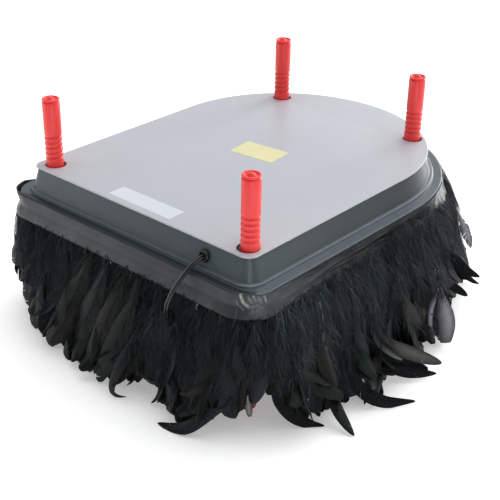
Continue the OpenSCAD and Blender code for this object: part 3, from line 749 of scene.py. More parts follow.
band_b, band_n = outline(260, 150, 220, 420)
band_s = np.concatenate([[0], np.cumsum(np.linalg.norm(np.diff(band_b, axis=0), axis=1))])
front_w = np.clip(ease((330 - band_s) / 18) + ease((band_s - 1535) / 30), 0, 1)     # straight front and left corner
right_w = ease((band_s - 352) / 110) * ease((742 - band_s) / 60)
ROWS = 25
bv, tape_whitening_and_painted_light = np.zeros((ROWS + 3, len(band_b), 3)), np.zeros((ROWS + 3, len(band_b), 3))
for i in range(-3, ROWS):
    q = max(i, 0) / (ROWS - 1)
    z = 173.6 - 27.6 * q
    out = 6.0 * (1 - 0.72 * right_w)
    e = 1.5 + out * ease((160 - z) / 14) ** 0.9
    d, whitening_and_highlight = wrinkles(band_s, np.full_like(band_s, q))
    # the top edge stands off at the left front corner, and a little along the front
    gap = np.exp(-(((band_s - 1572) / 24) ** 2)) * 3.8 * ease((0.55 - q) / 0.55)
    gap = gap + 0.4 * ease((0.4 - q) / 0.4) * (0.6 + 0.4 * np.sin(band_s / 33))
    hem = (0.9 * np.sin(band_s / 13.0) + 0.7 * np.sin(band_s / 5.1 + 1)) * ease((q - 0.8) / 0.2)
    hem = hem * (0.3 + 1.6 * ease((band_s - 365) / 20) * ease((1310 - band_s) / 30))
    below = np.clip(ease((band_s - 352) / 30) * ease((1562 - band_s) / 24), 0, 1)
    ee = e + np.maximum(d, -0.9) + gap - 0.5 * below * ease((0.3 - q) / 0.3)
    zz = z + hem + 0.5 * np.exp(-(((band_s - 1572) / 30) ** 2)) * (1 - q) - 2.6 * below * ease((0.35 - q) / 0.35)
    if i < 0:
        # the part folded over the flange's top, widest along the front, where it is painted dark as the shaded strip
        # under the bead
        fold = (0.6 + 10.6 * np.clip(ease((392 - band_s) / 62) + ease((band_s - 1580) / 26), 0, 1)) * (-i / 3)
        ee, zz, whitening_and_highlight = ee - fold, zz + 0.25 - 0.35 * (-i / 3) * np.minimum(fold, 1), whitening_and_highlight * 0
    bv[i + 3, :, :2] = band_b + band_n * ee[:, None]
    bv[i + 3, :, 2] = zz
    if i >= 0:
        corner = (band_s > 318) & (band_s < 400)
        fold = near_folds(bv[i + 3]) * corner
        bv[i + 3, :, :2] += band_n * (1.3 * fold)[:, None]
        whitening_and_highlight = np.maximum(whitening_and_highlight, fold)
    # the lower half of the front painted a little paler
    whitening_and_highlight = np.maximum(whitening_and_highlight, 0.05 * front_w * ease((q - 0.4) / 0.4))
    tape_whitening_and_painted_light[i + 3, :, 0] = whitening_and_highlight
    # painted shade: the right side darker, most towards the far end and at the top under the flange, and the top of the
    # front a little darker
    tape_whitening_and_painted_light[i + 3, :, 1] = np.minimum(right_w * (0.40 + 0.60 * ease((band_s - 430) / 150) + 0.55 * ease((0.36 - q) / 0.2)) + 0.20 * front_w * ease((0.5 - q) / 0.3), 1)
    # painted shade: the folded part along the front, and the band's top edge there, darker
    front_flap_shade = np.clip(ease((392 - band_s) / 62) + ease((band_s - 1580) / 26), 0, 1)
    tape_whitening_and_painted_light[i + 3, :, 2] = front_flap_shade if i < 0 else 0.5 * front_flap_shade * ease((0.05 - q) / 0.05)
n, rows = len(band_b), ROWS + 3
bf = [(i * n + k, i * n + (k + 1) % n, (i + 1) * n + (k + 1) % n, (i + 1) * n + k) for i in range(rows - 1) for k in range(n)]
bf = [g[::-1] for g in bf]
k = Mat("skirt_tape")
at = k.node("ShaderNodeAttribute", attribute_name="tape_whitening_and_painted_light")
sep = k.node("ShaderNodeSeparateColor")
k.link(at.outputs["Color"], sep.inputs[0])
weave = k.noise(1, 3, vec=k.scaled((900, 900, 260)))
creases = k.noise(60, 6, 0.6, distortion=0.6)
tape = k.ramp(k.noise(22, 4), [(0.3, (0.029, 0.031, 0.034)), (0.7, (0.048, 0.050, 0.054))])
# painted shade from the second channel, the dark front strip from the third, and pale whitening and painted highlight
# from the first
tape = k.mix(k.math("MULTIPLY", sep.outputs[1], 0.9), tape, (0.006, 0.0065, 0.007))
tape = k.mix(k.math("MULTIPLY", sep.outputs[2], 0.9), tape, (0.020, 0.028, 0.032))
tape = k.mix(k.math("MULTIPLY", sep.outputs[0], k.remap(k.noise(300, 3), 0.35, 0.6, 0.35, 1.0)), tape, (0.58, 0.585, 0.58))
k.set(Base_Color=tape, Roughness=k.remap(k.noise(35, 4), 0.3, 0.7, 0.28, 0.44),
      Normal=k.bump(weave, 0.12, 0.0003, k.bump(creases, 0.35, 0.0012)))
k.set(Specular_IOR_Level=k.remap(sep.outputs[1], 0.0, 1.0, 0.34, 0.12))
M["skirt_tape"] = k.m
band = add_object("tape_band", bv.reshape(-1, 3) * MM, bf, M["skirt_tape"], sharp_deg=0)
att = band.data.color_attributes.new("tape_whitening_and_painted_light", "FLOAT_COLOR", "POINT")
att.data.foreach_set("color", np.hstack([tape_whitening_and_painted_light.reshape(-1, 3), np.ones((rows * n, 1))]).astype(np.float32).ravel())
sol = band.modifiers.new("thickness", "SOLIDIFY")
sol.thickness, sol.offset = 0.0008, -1
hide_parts("skirt_band"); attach(band, "plate")

# ----------------------------------------------------------------- feathers

class Plumes:
    """Collects the quads of many feathers into one mesh."""

    def __init__(self):
        self.v, self.f, self.uv, self.tone, self.mat, self.n = [], [], [], [], [], 0

    def grid(self, p, uv, tone, mat):
        """p is (rows, columns, 3), or (many, rows, columns, 3) with one tone each."""
        if p.ndim == 3:
            p, uv, tone = p[None], uv[None], np.array(tone, float)[None]
        m, a, b = p.shape[:3]
        idx = np.arange(m * a * b).reshape(m, a, b) + self.n
        quad = np.stack([idx[:, :-1, :-1], idx[:, 1:, :-1], idx[:, 1:, 1:], idx[:, :-1, 1:]], -1).reshape(-1, 4)
        self.v.append(p.reshape(-1, 3)); self.uv.append(np.broadcast_to(uv, (m, a, b, 2)).reshape(-1, 2))
        self.tone.append(np.repeat(np.asarray(tone), a * b, 0))
        self.f.append(quad); self.mat.append(np.full(len(quad), mat)); self.n += m * a * b

    def build(self, name, materials):
        v, f = np.concatenate(self.v) * MM, np.concatenate(self.f)
        uv, tone = np.concatenate(self.uv), np.concatenate(self.tone)
        mesh = bpy.data.meshes.new(name)
        mesh.vertices.add(len(v)); mesh.loops.add(f.size); mesh.polygons.add(len(f))
        mesh.vertices.foreach_set("co", v.astype(np.float32).ravel())
        mesh.loops.foreach_set("vertex_index", f.astype(np.int32).ravel())
        mesh.polygons.foreach_set("loop_start", np.arange(0, f.size, 4, dtype=np.int32))
        mesh.polygons.foreach_set("material_index", np.concatenate(self.mat).astype(np.int32))
        mesh.polygons.foreach_set("use_smooth", np.ones(len(f), bool))
        mesh.update(calc_edges=True)
        layer = mesh.uv_layers.new(name="UVMap")
        layer.data.foreach_set("uv", uv[f.ravel()].astype(np.float32).ravel())
        att = mesh.color_attributes.new("tone", "FLOAT_COLOR", "POINT")
        att.data.foreach_set("color", np.hstack([tone, np.ones((len(tone), 1))]).astype(np.float32).ravel())
        for m in materials:
            mesh.materials.append(m)
        ob = bpy.data.objects.new(name, mesh)
        scene.collection.objects.link(ob)
        return ob


def unit(a):
    return a / np.maximum(np.linalg.norm(a, axis=-1, keepdims=True), 1e-9)


def along(values, t):
    """Looks up rows of values, given at even places from 0 to 1, at t; runs on straight past 1."""
    n = len(values) - 1
    x = np.clip(t, 0, None) * n
    i = np.clip(x.astype(int), 0, n - 1)
    w = (x - i)[..., None]
    return values[i] * (1 - w) + values[i + 1] * w


def axes(line, face):
    tan = unit(np.gradient(line, axis=0))
    face = unit(face - tan * (face * tan).sum(1, keepdims=True))
    return tan, face, np.cross(tan, face)


def feather(pl, rng, line, face, half, start, tone, mat, point=1.0, cup=0.25, splits=3, floor=0.35,
            quill=0.5, rows=22, barb=0.8, skew=0.0, fray=1.0):
    """One feather: quill along line and two vanes in rows of barbs."""
    length = np.linalg.norm(np.diff(line, axis=0), axis=1).sum()
    tan, face, wide = axes(line, face)
    ripple = rng.uniform(0.1, 0.5), rng.uniform(4, 11), rng.uniform(0, 6.28)
    for side in (-1, 1):
        cuts = sorted(rng.choice(np.arange(2, rows - 2), size=min(splits, rows - 5), replace=False)) if splits else []
        bounds = [0, *[int(c) for c in cuts], rows - 1]
        cols = np.array([0, 0.3, 0.65, 1.0])
        width = half * rng.uniform(0.88, 1.08) * (1 + skew * side)
        for a, b in zip(bounds[:-1], bounds[1:]):
            if b - a < 1:
                continue
            x = np.linspace(a, b, b - a + 1) / (rows - 1)
            tr = start + (1 - start) * x
            w = width * (0.3 + 0.7 * ease(x / 0.4)) * np.sqrt(np.clip(1 - (np.clip((x - 0.42) / 0.58, 0, 1)) ** 2, 0, 1)) ** point
            w = w * (1 - fray * rng.uniform(-0.03, 0.1))
            t2 = tr[:, None] + barb * cols[None, :] ** 1.1 * w[:, None] / length
            gap = (rng.uniform(0.0005, 0.003) if rng.random() < 0.8 or x[0] > 0.4 else rng.uniform(0.008, 0.025)) * fray * cols ** 1.6
            if a:
                t2[0] += gap
            if b < rows - 1:
                t2[-1] -= gap * rng.uniform(0.2, 1)
            t2 = np.minimum(t2, 1.0)
            p, wd, fc = along(line, t2), along(wide, t2), along(face, t2)
            lift = -cup * w[:, None] * cols[None, :] ** 2 + ripple[0] * np.sin(ripple[1] * t2 + ripple[2] + side) * cols[None, :]
            lift = lift + fray * rng.normal(0, 0.32) * cols[None, :]
            p = p + wd * (side * w[:, None] * cols[None, :])[..., None] + fc * lift[..., None]
            p[..., 2] = np.maximum(p[..., 2], floor + 0.25 * cols[None, :])
            uv = np.stack([0.5 + 0.5 * side * np.repeat(cols[None, :], len(tr), 0), np.repeat(tr[:, None], 4, 1)], -1)
            pl.grid(p if side > 0 else p[:, ::-1], uv if side > 0 else uv[:, ::-1], tone, mat)
    # quill
    tq = np.linspace(0, 0.97, 12)
    c, wd, fc = along(line, tq), along(wide, tq), along(face, tq)
    r = (quill * (1 - tq) ** 0.7 + 0.12)[:, None]
    p = np.stack([c + wd * r, c + fc * r * 0.9, c - wd * r, c - fc * r * 0.6, c + wd * r], 1)
    p[..., 2] = np.maximum(p[..., 2], 0.3)
    uv = np.zeros(p.shape[:2] + (2,)); uv[..., 0] = 0.5; uv[..., 1] = tq[:, None]
    pl.grid(p[:, ::-1], uv, (min(1, tone[0] + 0.05), tone[1], 0), mat)


def down(pl, rng, line, face, count, tone, mat, long=(12, 30), thick=(0.4, 0.7), lo=0.0, hi=1.0, spread=(12, 55), droop=0.5, clear=14.0):
    """Loose barbs on both sides of a soft feather's quill."""
    tan, face, wide = axes(line, face)
    k = 6
    tb = rng.uniform(lo, hi, count)
    side = np.where(rng.random(count) < 0.5, -1.0, 1.0)[:, None]
    ang = np.radians(rng.uniform(*spread, count))[:, None]
    p0, wd, fc, tg = along(line, tb), along(wide, tb), along(face, tb), along(tan, tb)
    d = unit(wd * side * np.sin(ang) + tg * np.cos(ang) + fc * rng.uniform(-0.35, 0.45, (count, 1)))
    ln = rng.uniform(*long, count)[:, None] * (1 - 0.35 * tb[:, None])
    curl = unit(rng.normal(0, 1, (count, 3))) * rng.uniform(0.05, 0.3, (count, 1))
    x = np.linspace(0, 1, k)
    pts = (p0[:, None] + d[:, None] * (ln[:, None] * x[None, :, None])
           + (np.array([0, 0, -1.0]) + curl)[:, None] * (ln[:, None] * droop * (x ** 2)[None, :, None]))
    tng = unit(np.gradient(pts, axis=1))
    flat = unit(np.cross(tng, fc[:, None] + 0.5 * rng.normal(0, 1, (count, 1, 3))))
    w = (rng.uniform(*thick, count)[:, None] * 0.5)[:, None] * (1 - 0.8 * x)[None, :, None]
    both = np.stack([pts - flat * w, pts + flat * w], 2)
    keep = both[..., 2].reshape(count, -1).min(1) > clear
    u, v = project(pts[:, -1] * MM)
    keep &= inside(u, v) & inside(u, v + 5)
    if not keep.any():
        return
    both, count = both[keep], int(keep.sum())
    uv = np.zeros((1, k, 2, 2)); uv[..., 0] = 0.5; uv[..., 1] = np.linspace(0.2, 0.8, k)[None, :, None]
    tones = np.stack([tone[0] * rng.uniform(0.3, 1.5, count), np.full(count, tone[1]) + rng.uniform(0, 0.2, count), np.zeros(count)], 1)
    pl.grid(both, uv, tones, mat)


def feather_material(name, tint, tint2, spec_tint, rough=(0.30, 0.48), pale=(0.22, 0.21, 0.22), spec=0.15):
    k = Mat(name)
    at = k.node("ShaderNodeAttribute", attribute_name="tone")
    sep = k.node("ShaderNodeSeparateColor")
    k.link(at.outputs["Color"], sep.inputs[0])
    uvn = k.node("ShaderNodeUVMap", uv_map="UVMap")
    sx = k.node("ShaderNodeSeparateXYZ")
    k.link(uvn.outputs["UV"], sx.inputs[0])
    across = k.math("ABSOLUTE", k.math("SUBTRACT", sx.outputs[0], 0.5))
    co = k.node("ShaderNodeCombineXYZ")
    k.link(k.math("MULTIPLY", across, 2.4), co.inputs[0])
    k.link(k.math("MULTIPLY", sx.outputs[1], 80.0), co.inputs[1])
    k.link(k.math("MULTIPLY", sep.outputs[1], 37.0), co.inputs[2])
    streak = k.noise(1.0, 3, 0.6, vec=co.outputs[0])
    co2 = k.node("ShaderNodeCombineXYZ")
    k.link(k.math("MULTIPLY", sx.outputs[0], 1.6), co2.inputs[0])
    k.link(k.math("MULTIPLY", sx.outputs[1], 4.0), co2.inputs[1])
    k.link(k.math("MULTIPLY", sep.outputs[1], 53.0), co2.inputs[2])
    patch = k.noise(1.0, 2, 0.5, vec=co2.outputs[0])
    black = k.mix(k.remap(streak, 0.3, 0.7, 0.0, 1.0), (0.0014, 0.0016, 0.0019), (0.0120, 0.0130, 0.0140))
    # painted sheen: patches of green, blue or bronze tinted into the base colour
    sheen_hue = k.mix(k.remap(patch, 0.40, 0.62, 0.0, 1.0), tint, tint2)
    sheen_at = k.math("MULTIPLY", k.remap(patch, 0.42, 0.72, 0.0, 0.8), k.remap(streak, 0.3, 0.75, 0.2, 1.0))
    col = k.mix(sheen_at, black, sheen_hue)
    col = k.mix(k.remap(across, 0.34, 0.5, 0.0, 0.10), col, (0.020, 0.017, 0.014))
    faded = k.math("MULTIPLY", k.remap(streak, 0.30, 0.68, 0.50, 1.0), k.remap(across, 0.08, 0.5, 1.0, 0.12))
    faded = k.math("MULTIPLY", faded, k.remap(sx.outputs[1], 0.72, 1.0, 1.0, 0.35))
    col = k.mix(k.math("MULTIPLY", sep.outputs[0], faded), col, pale)
    k.set(Base_Color=col, Roughness=k.remap(streak, 0.3, 0.7, rough[0], rough[1]),
          Normal=k.bump(streak, 0.4, 0.0009))
    edge = k.node("ShaderNodeLayerWeight")
    edge.inputs["Blend"].default_value = 0.5
    k.set(Specular_IOR_Level=k.remap(edge.outputs["Facing"], 0.40, 0.90, spec, 0.1 * spec))
    k.b.inputs["Specular Tint"].default_value = (*spec_tint, 1)
    return k.m


FEATHER_MATS = [
    feather_material("feather_black", (0.004, 0.005, 0.006), (0.006, 0.006, 0.007), (0.85, 0.95, 1.0)),
    feather_material("feather_green", (0.009, 0.021, 0.013), (0.010, 0.016, 0.011), (0.70, 1.0, 0.88)),
    feather_material("feather_blue", (0.005, 0.008, 0.014), (0.003, 0.012, 0.014), (0.75, 0.9, 1.0), pale=(0.44, 0.41, 0.48)),
    feather_material("feather_bronze", (0.020, 0.019, 0.011), (0.014, 0.016, 0.009), (1.0, 0.97, 0.88), pale=(0.25, 0.24, 0.22)),
    feather_material("feather_matt", (0.003, 0.004, 0.005), (0.004, 0.005, 0.006), (0.85, 0.95, 1.0), rough=(0.5, 0.66), spec=0.05),
    feather_material("feather_down", (0.004, 0.006, 0.007), (0.006, 0.007, 0.009), (0.80, 0.95, 1.0), rough=(0.42, 0.58), spec=0.28, pale=(0.18, 0.22, 0.235)),
]
MATT, DOWN = 4, 5
M["feathers"] = FEATHER_MATS[0]

# how far the tips stand out past the flange, round the edge
FLARE_S = [0, 165, 330, 357, 420, 654, 810, 968, 1125, 1282, 1420, 1551, 1580, 1606]
FLARE_E = [18, 24, 27, 30, 36, 44, 46, 38, 30, 20, 10, 8, 12, 18]


def flare_at(s):
    return float(np.interp(s % ROUND, FLARE_S, FLARE_E))


def hang(s, e0, z0, length, out0, mid, out1, lean, lean1, floor, n=24, when=0.5):
    """A feather's line: out from the band, down, then along the floor."""
    e, z, lines, turn = e0, z0, [], []
    dl = length / (n - 1)
    for i in range(n):
        t = i / (n - 1)
        a = out0 + (mid - out0) * ease(t / 0.3)
        a = a + (out1 - mid) * ease((t - when) / (1 - when)) ** 1.2
        la = math.radians(lean + (lean1 - lean) * t ** 1.6)
        h = max(z - floor, 0.0)
        flat = math.degrees(math.acos(max(0.0, min(1.0, h / (3.2 * dl)))))
        if abs(a) < flat:
            a = flat if a >= -2 else -flat
        p, q = edge_at(s)
        lines.append((p[0] + q[0] * e, p[1] + q[1] * e, z))
        r = math.radians(a)
        turn.append((q[0] * math.cos(r), q[1] * math.cos(r), math.sin(r)))
        c = math.cos(la)
        e += dl * math.sin(r) * c
        z -= dl * math.cos(r) * c
        s += dl * math.sin(la)
    return np.array(lines), np.array(turn)


def twist(line, face, start, end):
    tan, face, side = axes(line, face)
    a = np.radians(np.linspace(start, end, len(line)))[:, None]
    return face * np.cos(a) + side * np.sin(a)


def sector_of(s):
    s = s % ROUND
    if s >= 1551 or s < 245:
        return "left_front"
    if s < 385:
        return "right_front"
    if s < 654:
        return "right_side"
    if s < 1282:
        return "round_end"
    return "left_side"


def soft_of(s):
    here = sector_of(s)
    return here if here != "round_end" else ("round_right" if s % ROUND < 968 else "round_left")


SECTORS = {"left_front": "feather_front_left", "right_front": "feather_front_right", "right_side": "feather_right",
           "round_end": "feather_back", "left_side": "feather_left"}

# how far the skirt reaches in the picture: no loose feather goes past this
REACH = np.array([
    (20, 178), (17, 205), (14, 230), (12, 246), (15, 264), (22, 284), (30, 299), (27, 312), (29, 326), (36, 335),
    (55, 353), (72, 366), (100, 385), (112, 393), (126, 396), (137, 382), (146, 376), (157, 388), (154, 404), (160, 416),
    (186, 428), (212, 424), (240, 418), (248, 408), (258, 396), (275, 391), (290, 408), (305, 420), (322, 425),
    (331, 408), (344, 422), (352, 430), (348, 402), (356, 394), (366, 404), (374, 405), (380, 400), (400, 396), (398, 376),
    (428, 371), (430, 352), (446, 342), (450, 300), (462, 294), (461, 284), (474, 280), (468, 258), (466, 240),
    (461, 212), (452, 186), (446, 165), (330, 90), (250, 70), (30, 165)], float)


def inside(u, v, poly=REACH):
    u, v = np.asarray(u, float), np.asarray(v, float)
    hit = np.zeros(u.shape, bool)
    j = len(poly) - 1
    for i in range(len(poly)):
        (xi, yi), (xj, yj) = poly[i], poly[j]
        cross = ((yi > v) != (yj > v)) & (u < (xj - xi) * (v - yi) / (yj - yi + 1e-12) + xi)
        hit ^= cross
        j = i
    return hit


# two small places where the leg behind shows through
PEEK = [(245, 376, 253, 386), (242, 400, 248, 407)]


def fits(line, s, room=0.0, peek=True):
    if not ((line[:, :2] > (-282, -312)).all() and (line[:, :2] < (282, 328)).all()):
        return False
    u, v = project(line * MM)
    if not (inside(u, v).all() and inside(u - room, v).all() and inside(u + room, v).all() and inside(u, v + room).all()):
        return False
    if peek and 300 < s % ROUND < 420:
        for x0, y0, x1, y1 in PEEK:
            if ((u > x0) & (u < x1) & (v > y0) & (v < y1)).any():
                return False
    return True


blades = {k: Plumes() for k in SECTORS}
soft = {k: Plumes() for k in ("left_front", "right_front", "right_side", "round_right", "round_left", "left_side")}
rng, fringe = np.random.default_rng(20), np.random.default_rng(21)


def try_hang(s, make, tries=7, room=0.0):
    """Draws a line until it stays within reach, each time shorter and closer in."""
    for i in range(tries):
        line, face = make(1 - 0.07 * i)
        if fits(line, s, room):
            return line, face
    return None


# inner layer: wide soft feathers close behind each other, so no light comes through
for e0, step, shift in ((2.2, 8.0, -16), (3.2, 8.5, -9)):
    s = 0.0
    while s < ROUND:
        here = s + rng.normal(0, 2)
        avg = math.degrees(math.atan2(max(flare_at(here) + shift, -4) - e0, 150))
        got = try_hang(here, lambda f: hang(here, e0, 151, 150 * f * rng.uniform(0.78, 1.02), avg + rng.uniform(2, 10), avg,
                                            avg + rng.normal(0, 8), rng.normal(0, 5), rng.normal(0, 10), 3.0))
        if got:
            line, face = got
            face = twist(line, face, rng.normal(0, 10), rng.normal(0, 22))
            feather(blades[sector_of(here)], rng, line, face, rng.uniform(11, 15), 0.02, (0.0, rng.random(), 0), DOWN,
                    point=rng.uniform(0.7, 1.1), cup=0.2, splits=6, floor=rng.uniform(1, 3), rows=18, quill=0.4)
        s += step * rng.uniform(0.8, 1.2)

# blades: the long curved feathers whose tips show below
for e0, step, shift, shorter in ((3.4, 10.0, -5, 1.0), (4.4, 12.0, 0, 0.97), (5.0, 17.0, 4, 0.86)):
    s = 0.0
    while s < ROUND:
        here = s + rng.normal(0, 3)
        tip = flare_at(here)
        avg = math.degrees(math.atan2(tip + shift - e0, 150))
        mid = avg + rng.normal(0, 4)
        curl = rng.normal(8, 18) + (30 if rng.random() < 0.3 else 0)
        lean, lean1 = rng.normal(0, 7), rng.normal(0, 30)
        long = 150 / math.cos(math.radians(max(avg, 0))) * rng.uniform(0.84, 1.12) * shorter
        floor = rng.uniform(0.6, 3.5)
        out0 = avg + rng.uniform(6, 18)
        got = try_hang(here, lambda f: hang(here, e0 + rng.normal(0, 0.4), 150, long * f, out0, mid * f, (mid + curl) * f,
                                            lean, lean1 * f, floor, when=0.45))
        if got:
            line, face = got
            face = twist(line, face, rng.normal(0, 16), rng.normal(0, 34))
            mat = int(rng.choice(4, p=[0.55, 0.19, 0.14, 0.12]))
            feather(blades[sector_of(here)], rng, line, face, rng.uniform(8, 13), rng.uniform(0.34, 0.5),
                    (max(0.0, rng.normal(0.0, 0.025)), rng.random(), 0), mat, point=rng.uniform(0.9, 1.6),
                    cup=rng.uniform(0.1, 0.5), splits=int(rng.integers(2, 6)), floor=rng.uniform(0.3, 1.0), skew=rng.uniform(-0.2, 0.2))
            down(soft[soft_of(here)], fringe, line, face, 28, (0.0, fringe.random()), DOWN, long=(8, 17), thick=(0.3, 0.55), lo=0.35,
                 hi=0.95, spread=(14, 42), droop=0.25, clear=1.0)
        s += step * rng.uniform(0.7, 1.3)

def tuft(s):
    return 9 * math.sin(s / 14.0) * math.sin(s / 33.0 + 1) + 6 * math.sin(s / 6.3 + 2)


# soft plumes: short quills with long loose barbs, thick under the band
for e0, step, long, shift, count in ((3.0, 3.6, (70, 120), 2, 34), (4.6, 2.6, (55, 105), 7, 36), (6.0, 2.8, (35, 80), 10, 34)):
    s = 0.0
    while s < ROUND:
        here = s + rng.normal(0, 2)
        tip = flare_at(here)
        avg = math.degrees(math.atan2(tip + shift - e0, 150))
        got = try_hang(here, lambda f: hang(here, e0 + rng.normal(0, 0.5), 150 + rng.uniform(-2, 2), f * rng.uniform(*long),
                                            avg + rng.uniform(4, 22), avg + rng.normal(0, 6), avg + rng.normal(0, 16),
                                            rng.normal(0, 8) + tuft(here), rng.normal(0, 18) + 2 * tuft(here), 4.0, n=14), room=2.5)
        if got:
            line, face = got
            face = twist(line, face, rng.normal(0, 30), rng.normal(0, 50))
            # painted light: the fluff paler on the lit right side
            down(soft[soft_of(here)], rng, line, face, count, ((0.33 if 380 < here < 900 else 0.0) + rng.uniform(0, 0.03) if rng.random() < 0.8 else rng.uniform(0.05, 0.13), rng.random()), DOWN)
        s += step * rng.uniform(0.7, 1.3)

# on the right the plumes also lie over the band's lower edge
s = 425.0
while s < 900:
    here = s + rng.normal(0, 2)
    avg = math.degrees(math.atan2(flare_at(here) - 4, 150))
    z0 = 144 + 8 * ease((here - 425) / 70) + 7 * ease((here - 540) / 60) * ease((704 - here) / 14) - 14 * math.exp(-((here - 745) / 26) ** 2)
    got = try_hang(here, lambda f: hang(here, 3.4 + rng.uniform(0, 1.2), z0 + rng.uniform(0, 10), f * rng.uniform(30, 60), avg + rng.uniform(8, 30),
                                        avg + rng.normal(0, 6), avg + rng.normal(0, 16), rng.normal(0, 14) + tuft(here), rng.normal(0, 24), 4.0, n=14))
    if got:
        # painted light: paler fluff on the lit right side
        down(soft[soft_of(here)], rng, got[0], twist(*got, rng.normal(0, 30), rng.normal(0, 50)), 26, (0.05 + abs(rng.normal(0.0, 0.05)), rng.random()), DOWN)
    s += 2.2 * rng.uniform(0.7, 1.3)

# and at the far right they stand out from the band's upper edge
s = 778.0
while s < 880:
    here = s + rng.normal(0, 2)
    avg = math.degrees(math.atan2(flare_at(here) - 4, 150))
    got = try_hang(here, lambda f: hang(here, 3.0 + rng.uniform(0, 1.5), rng.uniform(151, 161), f * rng.uniform(40, 75), avg + rng.uniform(25, 50),
                                        avg + rng.normal(6, 6), avg + rng.normal(0, 12), rng.normal(0, 10), rng.normal(0, 18), 4.0, n=14))
    if got:
        # painted light: paler fluff at the lit far right
        down(soft[soft_of(here)], rng, got[0], twist(*got, rng.normal(0, 30), rng.normal(0, 50)), 30, (0.16 + abs(rng.normal(0.0, 0.05)), rng.random()), DOWN)
    s += 1.6 * rng.uniform(0.7, 1.3)

# more of them along the left side, where the skirt hangs nearly straight
s = 1400.0
while s < 1606:
    here = s + rng.normal(0, 2)
    avg = math.degrees(math.atan2(flare_at(here) + 4, 150))
    got = try_hang(here, lambda f: hang(here, 4.0 + rng.uniform(0, 2), rng.uniform(95, 150), f * rng.uniform(40, 80), avg + rng.uniform(2, 14),
                                        avg + rng.normal(0, 5), avg + rng.normal(0, 10), rng.normal(0, 8), rng.normal(0, 16), 4.0, n=14))
    if got:
        down(soft[soft_of(here)], rng, got[0], twist(*got, rng.normal(0, 30), rng.normal(0, 50)), 30, (rng.uniform(0, 0.03), rng.random()), DOWN)
    s += 2.0 * rng.uniform(0.7, 1.3)

# single feathers that stand out, each laid along its place in the picture
def on_skirt(u, v, e):
    """Place on the ray through (u, v) that is e outside the flange's edge, in mm."""
    zs = np.linspace(2, 172, 120)
    pts = np.array([on_plane(u, v, z * MM) / MM for z in zs])
    idx = np.argmin(((pts[:, None, :2] - FINE_B[None, ::3]) ** 2).sum(-1), 1) * 3
    out = ((pts[:, :2] - FINE_B[idx]) * FINE_N[idx]).sum(1)
    enter = np.nonzero((out[1:] >= e) & (out[:-1] < e))[0]
    if len(enter) == 0:
        k = int(np.argmin(np.abs(out - e)))
        return pts[k], FINE_N[idx[k]], FINE_S[idx[k]]
    k = int(enter[-1]) + 1
    w = np.clip((e - out[k - 1]) / (out[k] - out[k - 1] + 1e-9), 0, 1)
    return pts[k - 1] * (1 - w) + pts[k] * w, FINE_N[idx[k]], FINE_S[idx[k]]


def placed(px, tip_z, e_base, bow=4.0, root=30.0):
    base, n2, s = on_skirt(*px[0], e_base)
    tip = on_plane(*px[-1], tip_z * MM) / MM
    du, dv = px[-1][0] - px[0][0], px[-1][1] - px[0][1]
    across = CAM_X if abs(dv) >= abs(du) else CAM_Y
    normal = unit(np.cross(tip - base, across))
    p2 = smooth_path([(a, b, 0) for a, b in px], 2.0)[:, :2]
    pts = []
    for a, b in p2:
        d = ray(a, b)
        pts.append(CAM_AT / MM + d * (((base - CAM_AT / MM) @ normal) / (d @ normal)))
    pts = np.array(pts)
    x = np.linspace(0, 1, len(pts))
    pts = pts + CAM_Z * (bow * np.sin(np.pi * x))[:, None]
    if root:
        top = np.array([(*(pts[0, :2] - n2 * root * 0.25), min(pts[0, 2] + root, 148.0))])
        pts = np.vstack([top, pts])
    pts = smooth_path(pts, 3.0)
    pts[:, 2] = np.maximum(pts[:, 2], 0.5)
    at = np.linspace(0, 1, 30)
    far = np.linspace(0, 1, len(pts))
    line = np.stack([np.interp(at, far, pts[:, k]) for k in range(3)], 1)
    face = np.repeat(unit(CAM_Z * 0.75 + np.array((n2[0], n2[1], 0.25)) * 0.5)[None], len(line), 0)
    return line, face, s


